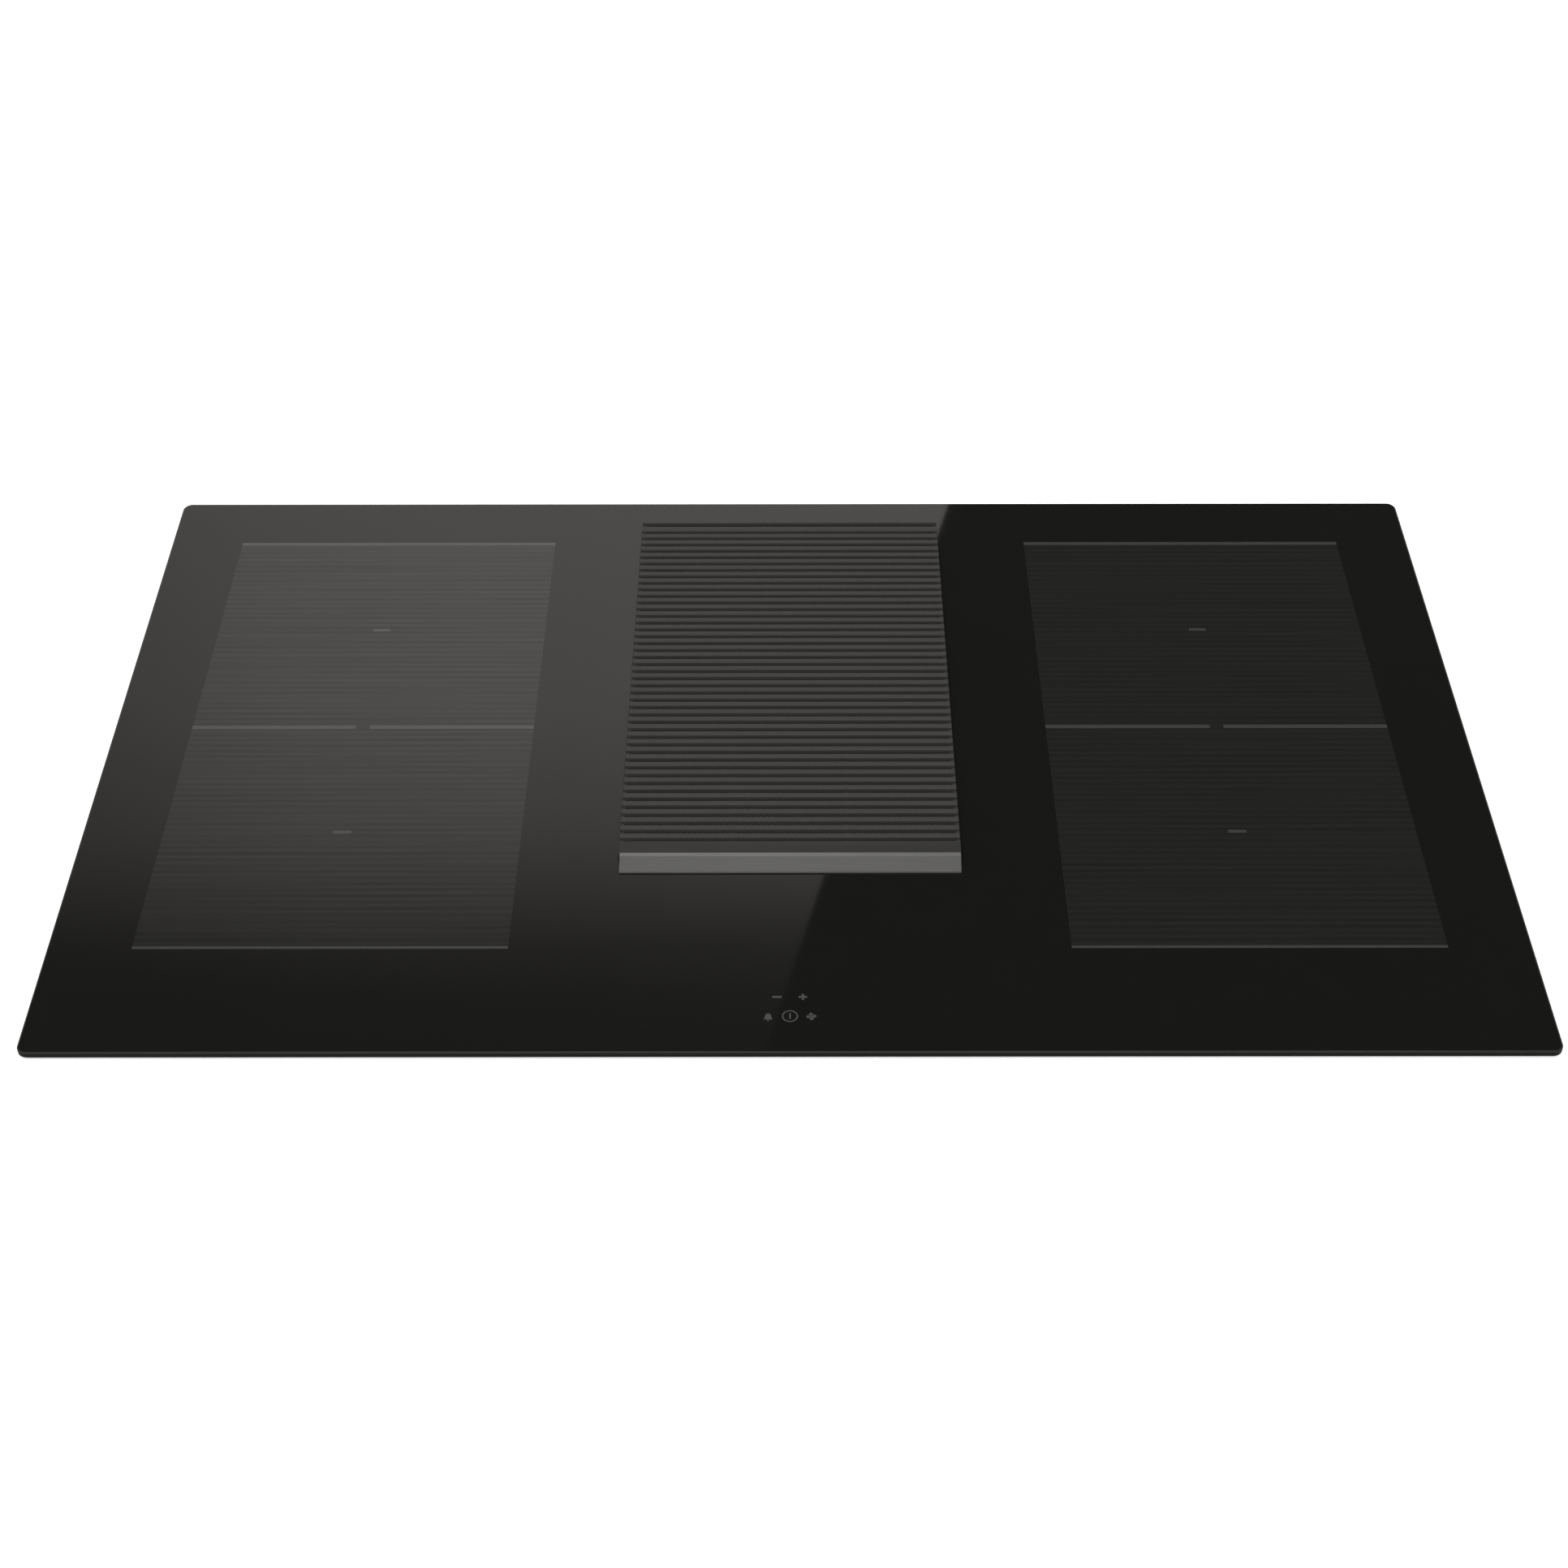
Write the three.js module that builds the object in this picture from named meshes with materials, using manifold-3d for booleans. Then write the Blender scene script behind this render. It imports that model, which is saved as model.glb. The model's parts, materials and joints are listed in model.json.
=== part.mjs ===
// A downdraft induction cooktop: a black glass hob with four induction coils in two bridged zones and a
// slatted air intake between them, over a blower that draws the vapour down and sends it out at the rear.
// Millimetres, +X to the right, +Y to the rear, +Z up. The origin is the middle of the worktop's cut-out,
// level with the worktop's top face.
import * as THREE from "three";
import { mergeVertices } from "three/addons/utils/BufferGeometryUtils.js";
import Module from "manifold-3d";

// ---- Gaps -------------------------------------------------------------------------------------------
const seat = 0.3; // between two faces that rest on each other
const slip = 0.3; // around a pin, shank or spigot in its hole

// ---- Glass and worktop ------------------------------------------------------------------------------
const glassWidth = 830;
const glassDepth = 515;
const glassThickness = 4;
const glassCornerRadius = 6;
const glassArris = 0.6; // ground edge
const glassOverhang = 11.5; // of the glass over the worktop's cut-out
const gasketThickness = 1.2; // compressed
const gasketWidth = 6;
const gasketInset = 3; // from the glass edge
const cutoutClearance = 5.5; // between the cut-out and the steel boxes

// ---- Intake grille ----------------------------------------------------------------------------------
const grilleWidth = 200;
const grilleFrontInset = 140.8; // from the glass's front edge to the front of the bar
const grilleRearInset = 29.1; // from the glass's rear edge to the grille
const grilleHeight = 5; // above the glass
const grilleSideOverlap = 8; // over the glass, at the sides and the rear
const grilleFrontOverlap = 20; // over the glass, at the front
const barDepth = 12.4;
const barNose = 1.4; // height of the bar's front edge
const barRidge = 2; // flat at the bar's top edge
const barProud = 0.3; // of the bar's top edge over the slats
const slatPitch = 7.186;
const slotWidth = 3.2;
const grilleRim = 3; // of the rails beside the slots
const grilleRearRim = 1.5; // solid rim behind the last slot
const rearSlatExtra = 1.5; // of the rearmost slat's width over the others'
const grooveDepth = 2.3; // of the slots where they run out over the rails
const grilleStrip = 9.9; // least flat strip between the bar and the slots
const ribWidth = 3;
const ribDepth = 2.6; // of the ribs under the slats
const ribOffset = 34; // of the two ribs from the middle
const lugLength = 12;
const lugThickness = 4;
const lugDepth = 9; // of the lugs below the glass's top
const padThickness = 0.9;
const padWidth = 2.6;

// ---- Intake shaft -----------------------------------------------------------------------------------
const openingRadius = 5;
const trimWall = 1.7;
const trimLip = 3.5; // width of the trim's lip on the glass
const trimLipThickness = 0.9;
const shaftWall = 2.5;
const shaftFlange = 9.5; // width of the flange bonded under the glass
const shaftDrop = 15.2; // of the shaft's lower end below the case's cover
const ledgeWidth = 8;
const ledgeTop = -20;

// ---- Grease filter and drip tray --------------------------------------------------------------------
const filterClearance = 2; // to the trim
const filterWall = 1.2;
const filterDepth = 48.5; // of the cassette under its flange
const filterBasketClearance = 1.5; // to the shaft's ledge
const filterRim = 6; // inward rim that carries the mesh
const meshThickness = 3;
const meshPleatHeight = 20;
const meshPleats = 11;
const handleWidth = 14;
const handleThickness = 3;
const handleRise = 8;
const handleGrip = 70; // length of the raised middle
const trayClearance = 3; // to the shaft's ledge
const trayWall = 1.5;
const trayHeight = 32;

// ---- Steel boxes with the induction coils -----------------------------------------------------------
const boxHeight = 63.2; // under the glass
const boxWall = 1;
const boxFlange = 8; // folded inwards under the glass
const boxGapToShaft = 12;
const boxPost = 8; // square posts that carry the coil deck
const coilSideMargin = 46; // from the box's outer wall to the coils
const coilFrontMargin = 89; // from the glass's front edge to the front coil
const coilRearMargin = 55; // from the glass's rear edge to the rear coil
const coilGap = 19; // between the two coils
const coilInnerRadius = 24;
const coilThickness = 6;
const coilEdge = 1; // chamfer of the winding's upper edges
const insulationThickness = 1;
const carrierHeight = 7.7;
const carrierHubRadius = 22;
const carrierBore = 9;
const carrierBars = 6;
const carrierBarWidth = 12;
const carrierRingWidth = 5;
const carrierRingHeight = 3;
const sensorRadius = 8;
const sensorCollarRadius = 13;
const sensorCollarHeight = 2;
const sensorDepth = 5; // of the sensor in its carrier
const deckThickness = 1.5;
const deckClearance = 1;

// ---- Electronics ------------------------------------------------------------------------------------
const boardThickness = 1.6;
const boardStandoff = 7;
const boardEndGap = 49.5; // from the box's front and rear walls
const boardFanGap = 4; // between the board and the cooling fan
const standoffRadius = 3.5;
const boardInset = 9; // from the box's inner wall
const sinkFromFan = 64; // from the fan's axis to the middle of the heat sink
const sinkLength = 110;
const sinkWidth = 92;
const sinkBase = 4;
const sinkHeight = 27;
const sinkFins = 12;
const finThickness = 2;
const capacitorRadius = 9;
const capacitorHeight = 26;
const chokeRadius = 16;
const chokeHeight = 22;
const fanSize = 80;
const fanHeight = 25;
const fanBore = 38;
const fanFrontGap = 4.5; // between the cooling fan and the box's front wall
const fanNutGap = 4; // between the cooling fan and the clamps' nuts
const fanHubRadius = 15;
const fanFloor = 2.5; // of the spokes that carry the fan's motor
const fanSpokeWidth = 6;
const fanBlades = 7;
const fanBladeGap = 2; // between the blades and the frame
const fanBladeChord = 24;
const fanBladeThickness = 1.4;
const fanBladeTilt = 0.75; // radians
const fanSpindle = 2.5;
const ventSlots = 9;
const ventSlotWidth = 4;

// ---- Touch controls ---------------------------------------------------------------------------------
const touchTrayDepth = 22;
const touchTrayWall = 1.5;
const touchTrayGap = 4;
const touchBoardLength = 120;
const touchBoardWidth = 44;
const touchBoardThickness = 1.6;
const touchKeyRadius = 4;
const touchKeyHeight = 1.5;
const touchUpperRow = 41.4; // from the glass's front edge to the keys
const touchLowerRow = 26.6;
const touchUpperKeys = [-7.1, 7.1];
const touchLowerKeys = [-11.7, 0, 11.7];
const touchPostRadius = 3;

// ---- Extractor case ---------------------------------------------------------------------------------
const caseLeftGap = 28; // between the shaft and the case's left wall
const caseRearGap = 2.6; // between the shaft and the case's rear wall
const caseFrontGap = 48.3; // between the shaft and the case's front wall
const caseBottom = -212;
const caseWall = 2.5;
const railWidth = 4;
const railHeight = 5;
const railOffset = 50;

// ---- Blower -----------------------------------------------------------------------------------------
const blowerFromFront = 140; // from the case's front to the blower's axis
const blowerSideGap = 3.5; // between the scroll and the case's right wall
const scrollWall = 2;
const ductHeight = 89; // inside, of the scroll and the outlet
const ductWidth = 222; // inside
const ductTop = -105.5; // inside
const scrollTongueAngle = 100; // degrees from +X
const scrollTongueRadius = 80;
const scrollOutletRadius = 96;
const scrollOutletWidth = 92;
const scrollOutletEnd = 105; // from the blower's axis
const scrollFootRadius = 6;
const scrollFootOffset = 56;
const inletRadius = 54;
const inletWall = 3;
const inletHeight = 9;
const impellerRadius = 74;
const impellerInner = 58;
const impellerTopGap = 6; // over the impeller
const impellerPlate = 2;
const impellerFloorGap = 5; // under the impeller
const impellerBlades = 22;
const impellerBladeChord = 17.6;
const impellerBladeThickness = 1.6;
const impellerBladeTilt = 0.6; // radians
const motorRadius = 40;
const motorHeight = 53;
const motorEdge = 3; // chamfer
const motorGap = 4; // between the motor and the impeller's cup
const cupWall = 2.5;
const shaftRadius = 4;
const shaftLength = 15;
const bossWall = 4.5;

// ---- Outlet -----------------------------------------------------------------------------------------
const trayDuctGap = 4; // between the drip tray and the duct
const outletReach = 17; // of the duct past the case's rear wall
const collarWidth = 7;
const collarThickness = 2;
const flapFromRear = 66; // from the flap's hinge to the case's rear wall
const flapSpreadGap = 12; // between the duct's full width and the flap
const flapHingeDrop = 5; // from the duct's inside top to the pin
const flapThickness = 1.5;
const flapEdgeGap = 2;
const flapSleeveWall = 1.7;
const flapPinRadius = 2;
const flapStopHeight = 3;

// ---- Worktop clamps ---------------------------------------------------------------------------------
const worktopThickness = 40; // the clamps are drawn at this grip
const clampWidth = 16;
const clampThickness = 1.5;
const clampReach = 13; // of the lip past the upright
const clampWallGap = 1.5; // between the upright and the box
const clampUpright = 44;
const clampScrewInset = 12; // from the box's outer wall
const clampFoot = 20; // of the inner leg from the box's outer wall
const clampFromEnd = 57.5; // from the glass's front or rear edge
const screwRadius = 2;
const screwHeadRadius = 4;
const screwHeadHeight = 3;
const screwLength = 40;
const nutRadius = 6;
const nutHeight = 11;

// ---- Mains terminals --------------------------------------------------------------------------------
const terminalFromOuterWall = 113; // from the box's outer wall to the terminals' middle
const terminalRearInset = 5; // from the box's rear wall
const terminalLength = 90;
const terminalDepth = 54;
const terminalHeight = 22;
const terminalWall = 2;
const terminalPoles = 5;
const poleWidth = 12;
const poleDepth = 24;
const poleHeight = 14;
const terminalCoverThickness = 2;
const glandRadius = 9;
const glandNeckRadius = 7;
const glandBore = 5;
const glandLength = 14;

// ---- Colours ----------------------------------------------------------------------------------------
const finish = (color, roughness, metalness) =>
  new THREE.MeshStandardMaterial({ color, roughness, metalness });
const blackGlass = finish(0x0b0b0b, 0.08, 0);
const foam = finish(0x3a3a3a, 0.95, 0);
const silicone = finish(0x1c1c1c, 0.7, 0);
const mattBlack = finish(0x2c2b2a, 0.55, 0.2);
const darkSteel = finish(0x6a6968, 0.4, 0.9);
const brightSteel = finish(0xb4b4b2, 0.35, 1);
const galvanised = finish(0x9a9c9d, 0.5, 0.9);
const aluminium = finish(0xb9bbbd, 0.4, 1);
const copper = finish(0xa8623a, 0.45, 0.8);
const mica = finish(0xb9ab90, 0.9, 0);
const ferrite = finish(0x33302e, 0.8, 0);
const boardGreen = finish(0x2b5a3c, 0.6, 0);
const casePlastic = finish(0x2f3133, 0.6, 0);
const palePlastic = finish(0xc9c8c2, 0.55, 0);

// ---- Levels and outlines that several pieces share --------------------------------------------------
const rectangle = (x0, x1, y0, y1) => ({ x0, x1, y0, y1 });
const grow = (area, by) =>
  rectangle(area.x0 - by, area.x1 + by, area.y0 - by, area.y1 + by);

const glassBottom = gasketThickness + seat;
const glassTop = glassBottom + glassThickness;
const underGlass = glassBottom - seat; // top of what is bonded under the glass
const glassFront = -glassDepth / 2;
const glassArea = rectangle(-glassWidth / 2, glassWidth / 2, glassFront, glassDepth / 2);
const boxOuterX = glassWidth / 2 - glassOverhang - cutoutClearance;
const boxOuterY = glassDepth / 2 - glassOverhang - cutoutClearance;

const grilleFront = glassFront + grilleFrontInset;
const grilleRear = -glassFront - grilleRearInset;
const grilleTop = glassTop + grilleHeight;
const grilleBottom = glassTop + padThickness + 2 * seat;
const frameFront = grilleFront + barDepth + seat;
const slotsRear = grilleRear - grilleRearRim - rearSlatExtra;
const slatRoom = slotsRear - frameFront - grilleStrip;
const slatCount = Math.floor((slatRoom - slotWidth) / slatPitch);
const slatField = slatCount * slatPitch + slotWidth; // from the first slot to the last
const slotHalfLength = grilleWidth / 2 - grilleRim;

const openingHalfWidth = grilleWidth / 2 - grilleSideOverlap;
const openingArea = rectangle(
  -openingHalfWidth,
  openingHalfWidth,
  grilleFront + grilleFrontOverlap,
  grilleRear - grilleSideOverlap,
);
const trimArea = grow(openingArea, -slip - trimWall);
const shaftArea = openingArea;
const ledgeArea = grow(shaftArea, -ledgeWidth);
const shaftFlangeArea = grow(shaftArea, shaftWall + shaftFlange);

const filterFlangeArea = grow(trimArea, -filterClearance);
const filterBasketArea = grow(ledgeArea, -filterBasketClearance);
const filterFlangeBottom = ledgeTop + seat;
const filterBottom = filterFlangeBottom - filterDepth;

const boxInnerX = shaftFlangeArea.x1 + boxGapToShaft;
const boxBottom = underGlass - boxHeight;
const boxFloor = boxBottom + boxWall;
const coilOuterRadius = (glassDepth - coilFrontMargin - coilRearMargin - coilGap) / 4;
const coilX = boxOuterX - coilSideMargin - coilOuterRadius;
const coilFrontY = glassFront + coilFrontMargin + coilOuterRadius;
const coilRearY = -glassFront - coilRearMargin - coilOuterRadius;
const insulationBottom = underGlass - insulationThickness;
const coilTop = insulationBottom - seat;
const carrierTop = coilTop - coilThickness - seat;
const deckTop = carrierTop - carrierHeight - seat;
const deckBottom = deckTop - deckThickness;
const boardBottom = boxFloor + boardStandoff + seat;
const boardTop = boardBottom + boardThickness;
const fanX = boxOuterX - clampScrewInset - nutRadius - fanNutGap - fanSize / 2;
const fanY = -boxOuterY + boxWall + fanFrontGap + fanSize / 2;
const boardInnerX = boxInnerX + boxWall + boardInset;
const boardOuterX = fanX - fanSize / 2 - boardFanGap;
const boardHalfLength = boxOuterY - boxWall - boardEndGap;

const trayArea = grow(ledgeArea, -trayClearance);
const outletX = trayArea.x1 + trayDuctGap + scrollWall + ductWidth / 2;
const caseLeft = shaftArea.x0 - shaftWall - caseLeftGap - caseWall;
const caseRight = outletX + ductWidth / 2 + scrollWall + collarWidth;
const caseRear = shaftArea.y1 + shaftWall + caseRearGap + caseWall;
const caseFront = shaftArea.y0 - shaftWall - caseFrontGap - caseWall;
const caseArea = rectangle(caseLeft, caseRight, caseFront, caseRear);
const coverTop = boxBottom - seat;
const coverBottom = coverTop - caseWall;
const caseTop = coverBottom - seat;
const caseFloor = caseBottom + caseWall;
const shaftBottom = coverBottom - shaftDrop;
const trayBottom = caseFloor + railHeight + seat;
const ductBottom = ductTop - ductHeight;
const blowerX = caseRight - caseWall - blowerSideGap - scrollWall - scrollOutletRadius;
const blowerY = caseFront + blowerFromFront;
const outletStart = blowerY + scrollOutletEnd + seat;
const outletEnd = caseRear + outletReach;
const flapHingeY = caseRear - flapFromRear;
const outletSpreadEnd = flapHingeY - flapSpreadGap; // where the duct reaches its full width

// ---- Solids -----------------------------------------------------------------------------------------
const wasm = await Module();
wasm.setup();

// A closed geometry as a solid: shared corners become one, and slivers at a lathe's poles go.
function solid(geometry) {
  const bare = geometry.clone();
  bare.deleteAttribute("normal");
  bare.deleteAttribute("uv");
  const merged = mergeVertices(bare, 1e-4);
  const corners = merged.index.array;
  const kept = [];
  for (let i = 0; i < corners.length; i += 3) {
    const [a, b, c] = [corners[i], corners[i + 1], corners[i + 2]];
    if (a !== b && b !== c && c !== a) kept.push(a, b, c);
  }
  return new wasm.Manifold(
    new wasm.Mesh({
      numProp: 3,
      vertProperties: new Float32Array(merged.attributes.position.array),
      triVerts: new Uint32Array(kept),
    }),
  );
}

function surface(body) {
  const mesh = body.getMesh();
  const geometry = new THREE.BufferGeometry();
  geometry.setAttribute("position", new THREE.BufferAttribute(mesh.vertProperties, 3));
  geometry.setIndex(new THREE.BufferAttribute(mesh.triVerts, 1));
  geometry.computeVertexNormals();
  return geometry;
}

const join = (first, ...others) => others.reduce((whole, part) => whole.add(part), first);
const cut = (first, ...others) => others.reduce((whole, part) => whole.subtract(part), first);

function block(area, z0, z1) {
  const box = new THREE.BoxGeometry(area.x1 - area.x0, area.y1 - area.y0, z1 - z0);
  box.translate((area.x0 + area.x1) / 2, (area.y0 + area.y1) / 2, (z0 + z1) / 2);
  return solid(box);
}

// A frame with the given inner outline and the given width outside it.
const frame = (inner, width, z0, z1) =>
  cut(block(grow(inner, width), z0, z1), block(inner, z0 - 1, z1 + 1));

function roundedOutline(area, radius) {
  const shape = new THREE.Shape();
  shape.moveTo(area.x0 + radius, area.y0);
  shape.lineTo(area.x1 - radius, area.y0);
  shape.absarc(area.x1 - radius, area.y0 + radius, radius, -Math.PI / 2, 0);
  shape.absarc(area.x1 - radius, area.y1 - radius, radius, 0, Math.PI / 2);
  shape.absarc(area.x0 + radius, area.y1 - radius, radius, Math.PI / 2, Math.PI);
  shape.absarc(area.x0 + radius, area.y0 + radius, radius, Math.PI, 1.5 * Math.PI);
  return shape;
}

function slab(shape, z0, z1, curveSegments = 3) {
  const plate = new THREE.ExtrudeGeometry(shape, {
    depth: z1 - z0,
    bevelEnabled: false,
    curveSegments,
  });
  plate.translate(0, 0, z0);
  return solid(plate);
}

// The same as frame, with round corners; the radius is the inner outline's.
function roundedFrame(inner, radius, width, z0, z1) {
  const shape = roundedOutline(grow(inner, width), radius + width);
  shape.holes.push(roundedOutline(inner, radius));
  return slab(shape, z0, z1);
}

const outline = (points) => new THREE.Shape(points.map(([a, b]) => new THREE.Vector2(a, b)));

// A [y, z] outline carried from x0 to x1.
function alongX(points, x0, x1) {
  const bar = new THREE.ExtrudeGeometry(outline(points), {
    depth: x1 - x0,
    bevelEnabled: false,
  });
  bar.rotateX(Math.PI / 2);
  bar.rotateZ(Math.PI / 2);
  bar.translate(x0, 0, 0);
  return solid(bar);
}

// An [x, z] outline carried from y0 to y1.
function alongY(points, y0, y1) {
  const bar = new THREE.ExtrudeGeometry(outline(points), {
    depth: y1 - y0,
    bevelEnabled: false,
  });
  bar.rotateX(Math.PI / 2);
  bar.translate(0, y1, 0);
  return solid(bar);
}

// A [radius, z] profile turned about the Z axis, listed from the top down on its outside.
function turned(profile, segments = 32) {
  const upwards = profile.map(([r, z]) => new THREE.Vector2(r, z)).reverse();
  const lathe = new THREE.LatheGeometry(upwards, segments);
  lathe.rotateX(Math.PI / 2);
  return solid(lathe);
}

const disc = (radius, z0, z1, segments) =>
  turned([[0, z1], [radius, z1], [radius, z0], [0, z0]], segments);

const tube = (inner, outer, z0, z1, segments) =>
  turned([[inner, z1], [outer, z1], [outer, z0], [inner, z0], [inner, z1]], segments);

const spin = (body, angle) => body.rotate([0, 0, THREE.MathUtils.radToDeg(angle)]);

// The same solid, repeated evenly about the Z axis.
const around = (count, body) =>
  Array.from({ length: count }, (_, i) => spin(body, (2 * Math.PI * i) / count));

function piece(name, body, material, position = [0, 0, 0]) {
  const mesh = new THREE.Mesh(surface(body), material);
  mesh.name = name;
  mesh.position.set(...position);
  return mesh;
}

function group(members, position = [0, 0, 0]) {
  const whole = new THREE.Group();
  whole.position.set(...position);
  whole.add(...members);
  return whole;
}

// ---- Glass, its gasket and the opening's trim -------------------------------------------------------
function glassPlate() {
  const shape = roundedOutline(glassArea, glassCornerRadius);
  shape.holes.push(roundedOutline(openingArea, openingRadius));
  const plate = new THREE.ExtrudeGeometry(shape, {
    depth: glassThickness - 2 * glassArris,
    bevelThickness: glassArris,
    bevelSize: glassArris,
    bevelOffset: -glassArris,
    bevelSegments: 1,
    curveSegments: 4,
  });
  plate.translate(0, 0, glassArris);
  return solid(plate);
}

const worktopGasket = () =>
  frame(grow(glassArea, -gasketInset - gasketWidth), gasketWidth, 0, gasketThickness);

function openingTrim() {
  const sleeveBottom = glassBottom;
  const lipBottom = glassTop + seat;
  const lipTop = lipBottom + trimLipThickness;
  const innerRadius = openingRadius - slip - trimWall;
  const sleeve = roundedFrame(trimArea, innerRadius, trimWall, sleeveBottom, lipTop);
  const lipWidth = trimWall + slip + trimLip;
  return join(sleeve, roundedFrame(trimArea, innerRadius, lipWidth, lipBottom, lipTop));
}

// ---- Grille -----------------------------------------------------------------------------------------
function grilleSlats() {
  const frameArea = rectangle(-grilleWidth / 2, grilleWidth / 2, frameFront, grilleRear);
  const slots = Array.from({ length: slatCount + 1 }, (_, i) => {
    const shift = i === slatCount ? rearSlatExtra : 0;
    const front = slotsRear - slatField + i * slatPitch + shift;
    const slot = rectangle(-slotHalfLength, slotHalfLength, front, front + slotWidth);
    const groove = rectangle(-grilleWidth / 2 - 1, grilleWidth / 2 + 1, front, front + slotWidth);
    return join(
      block(slot, grilleBottom - 1, grilleTop + 1),
      block(groove, grilleTop - grooveDepth, grilleTop + 1),
    );
  });
  const ribArea = grow(trimArea, -filterClearance);
  const ribs = [-ribOffset, ribOffset].map((x) =>
    block(
      rectangle(x - ribWidth / 2, x + ribWidth / 2, ribArea.y0, ribArea.y1),
      grilleBottom - ribDepth,
      grilleBottom + ribDepth / 2,
    ),
  );
  const lugs = [-1, 1].flatMap((side) =>
    [ribArea.y0, ribArea.y1 - lugLength].map((y) => {
      const outer = side * ribArea.x1;
      const inner = outer - side * lugThickness;
      const lug = rectangle(Math.min(inner, outer), Math.max(inner, outer), y, y + lugLength);
      return block(lug, glassTop - lugDepth, grilleTop - ribDepth / 2);
    }),
  );
  return join(cut(block(frameArea, grilleBottom, grilleTop), ...slots), ...ribs, ...lugs);
}

function grilleBar() {
  const rear = grilleFront + barDepth;
  const bottom = glassTop + seat;
  const top = grilleTop + barProud;
  const chamfer = barNose / 3;
  const section = [
    [rear, bottom],
    [rear, top],
    [rear - barRidge, top],
    [grilleFront + chamfer, bottom + barNose],
    [grilleFront, bottom + barNose - chamfer],
    [grilleFront, bottom],
  ];
  return alongX(section, -grilleWidth / 2, grilleWidth / 2);
}

function grillePad() {
  const edge = seat;
  const outer = rectangle(
    -grilleWidth / 2 + edge,
    grilleWidth / 2 - edge,
    frameFront + edge,
    grilleRear - edge,
  );
  const bottom = glassTop + seat;
  return frame(grow(outer, -padWidth), padWidth, bottom, bottom + padThickness);
}

// ---- Intake shaft, grease filter and drip tray ------------------------------------------------------
function intakeShaft() {
  return join(
    frame(shaftArea, shaftWall, shaftBottom, underGlass),
    frame(shaftArea, shaftWall + shaftFlange, underGlass - shaftWall, underGlass),
    frame(ledgeArea, ledgeWidth + shaftWall / 2, ledgeTop - shaftWall, ledgeTop),
  );
}

function filterCassette() {
  const inner = grow(filterBasketArea, -filterWall);
  const rimArea = grow(inner, -filterRim);
  const flangeTop = filterFlangeBottom + filterWall;
  const wall = frame(inner, filterWall, filterBottom, flangeTop);
  const flange = cut(
    block(filterFlangeArea, filterFlangeBottom, flangeTop),
    block(inner, filterFlangeBottom - 1, flangeTop + 1),
  );
  const rim = frame(rimArea, filterRim + filterWall / 2, filterBottom, filterBottom + filterWall);
  return join(wall, flange, rim);
}

// A sheet folded to and fro along Y, resting on the cassette's rim.
function filterMesh() {
  const area = grow(filterBasketArea, -filterWall - slip);
  const bottom = filterBottom + filterWall + seat;
  const step = (area.y1 - area.y0) / (2 * meshPleats);
  const folds = Array.from({ length: 2 * meshPleats + 1 }, (_, i) => [
    area.y0 + i * step,
    bottom + (i % 2 ? meshPleatHeight - meshThickness : 0),
  ]);
  const upper = folds.map(([y, z]) => [y, z + meshThickness]).reverse();
  return alongX([...folds, ...upper], area.x0, area.x1);
}

function filterHandle() {
  const half = filterBasketArea.x1 - filterWall - slip;
  const grip = handleGrip / 2;
  const low = filterFlangeBottom - handleThickness;
  const high = low + handleRise;
  const section = [
    [-half, low - handleThickness],
    [-grip - handleRise, low - handleThickness],
    [-grip, high - handleThickness],
    [grip, high - handleThickness],
    [grip + handleRise, low - handleThickness],
    [half, low - handleThickness],
    [half, low],
    [grip + handleRise, low],
    [grip, high],
    [-grip, high],
    [-grip - handleRise, low],
    [-half, low],
  ];
  const middle = (filterBasketArea.y0 + filterBasketArea.y1) / 2;
  return alongY(section, middle - handleWidth / 2, middle + handleWidth / 2);
}

const openBox = (area, wall, floor, z0, z1) =>
  cut(block(area, z0, z1), block(grow(area, -wall), z0 + floor, z1 + 1));

const dripTray = () =>
  openBox(trayArea, trayWall, trayWall, trayBottom, trayBottom + trayHeight);

// ---- Steel boxes with the coils, one on each side ---------------------------------------------------
const sideName = (side) => (side < 0 ? "left" : "right");

function boxArea(side) {
  const xs = [side * boxInnerX, side * boxOuterX].sort((a, b) => a - b);
  return rectangle(xs[0], xs[1], -boxOuterY, boxOuterY);
}

function boardArea(side) {
  const xs = [side * boardInnerX, side * boardOuterX].sort((a, b) => a - b);
  return rectangle(xs[0], xs[1], -boardHalfLength, boardHalfLength);
}

const cornersOf = (area) => [
  [area.x0, area.y0],
  [area.x1, area.y0],
  [area.x1, area.y1],
  [area.x0, area.y1],
];

const rodAt = ([x, y], radius, z0, z1, segments = 12) =>
  disc(radius, z0, z1, segments).translate([x, y, 0]);

function fanVents(side) {
  const half = fanBore - ventSlotWidth;
  return Array.from({ length: ventSlots }, (_, i) => {
    const y = ((i + 0.5) / ventSlots - 0.5) * 2 * half;
    const reach = Math.sqrt(half * half - y * y);
    const x = side * fanX;
    const slot = rectangle(
      x - reach,
      x + reach,
      fanY + y - ventSlotWidth / 2,
      fanY + y + ventSlotWidth / 2,
    );
    return block(slot, boxBottom - 1, boxFloor + 1);
  });
}

const clampYs = [glassFront + clampFromEnd, -glassFront - clampFromEnd];

const clampSpots = (side) => clampYs.map((y) => [side * (boxOuterX - clampScrewInset), y]);

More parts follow.
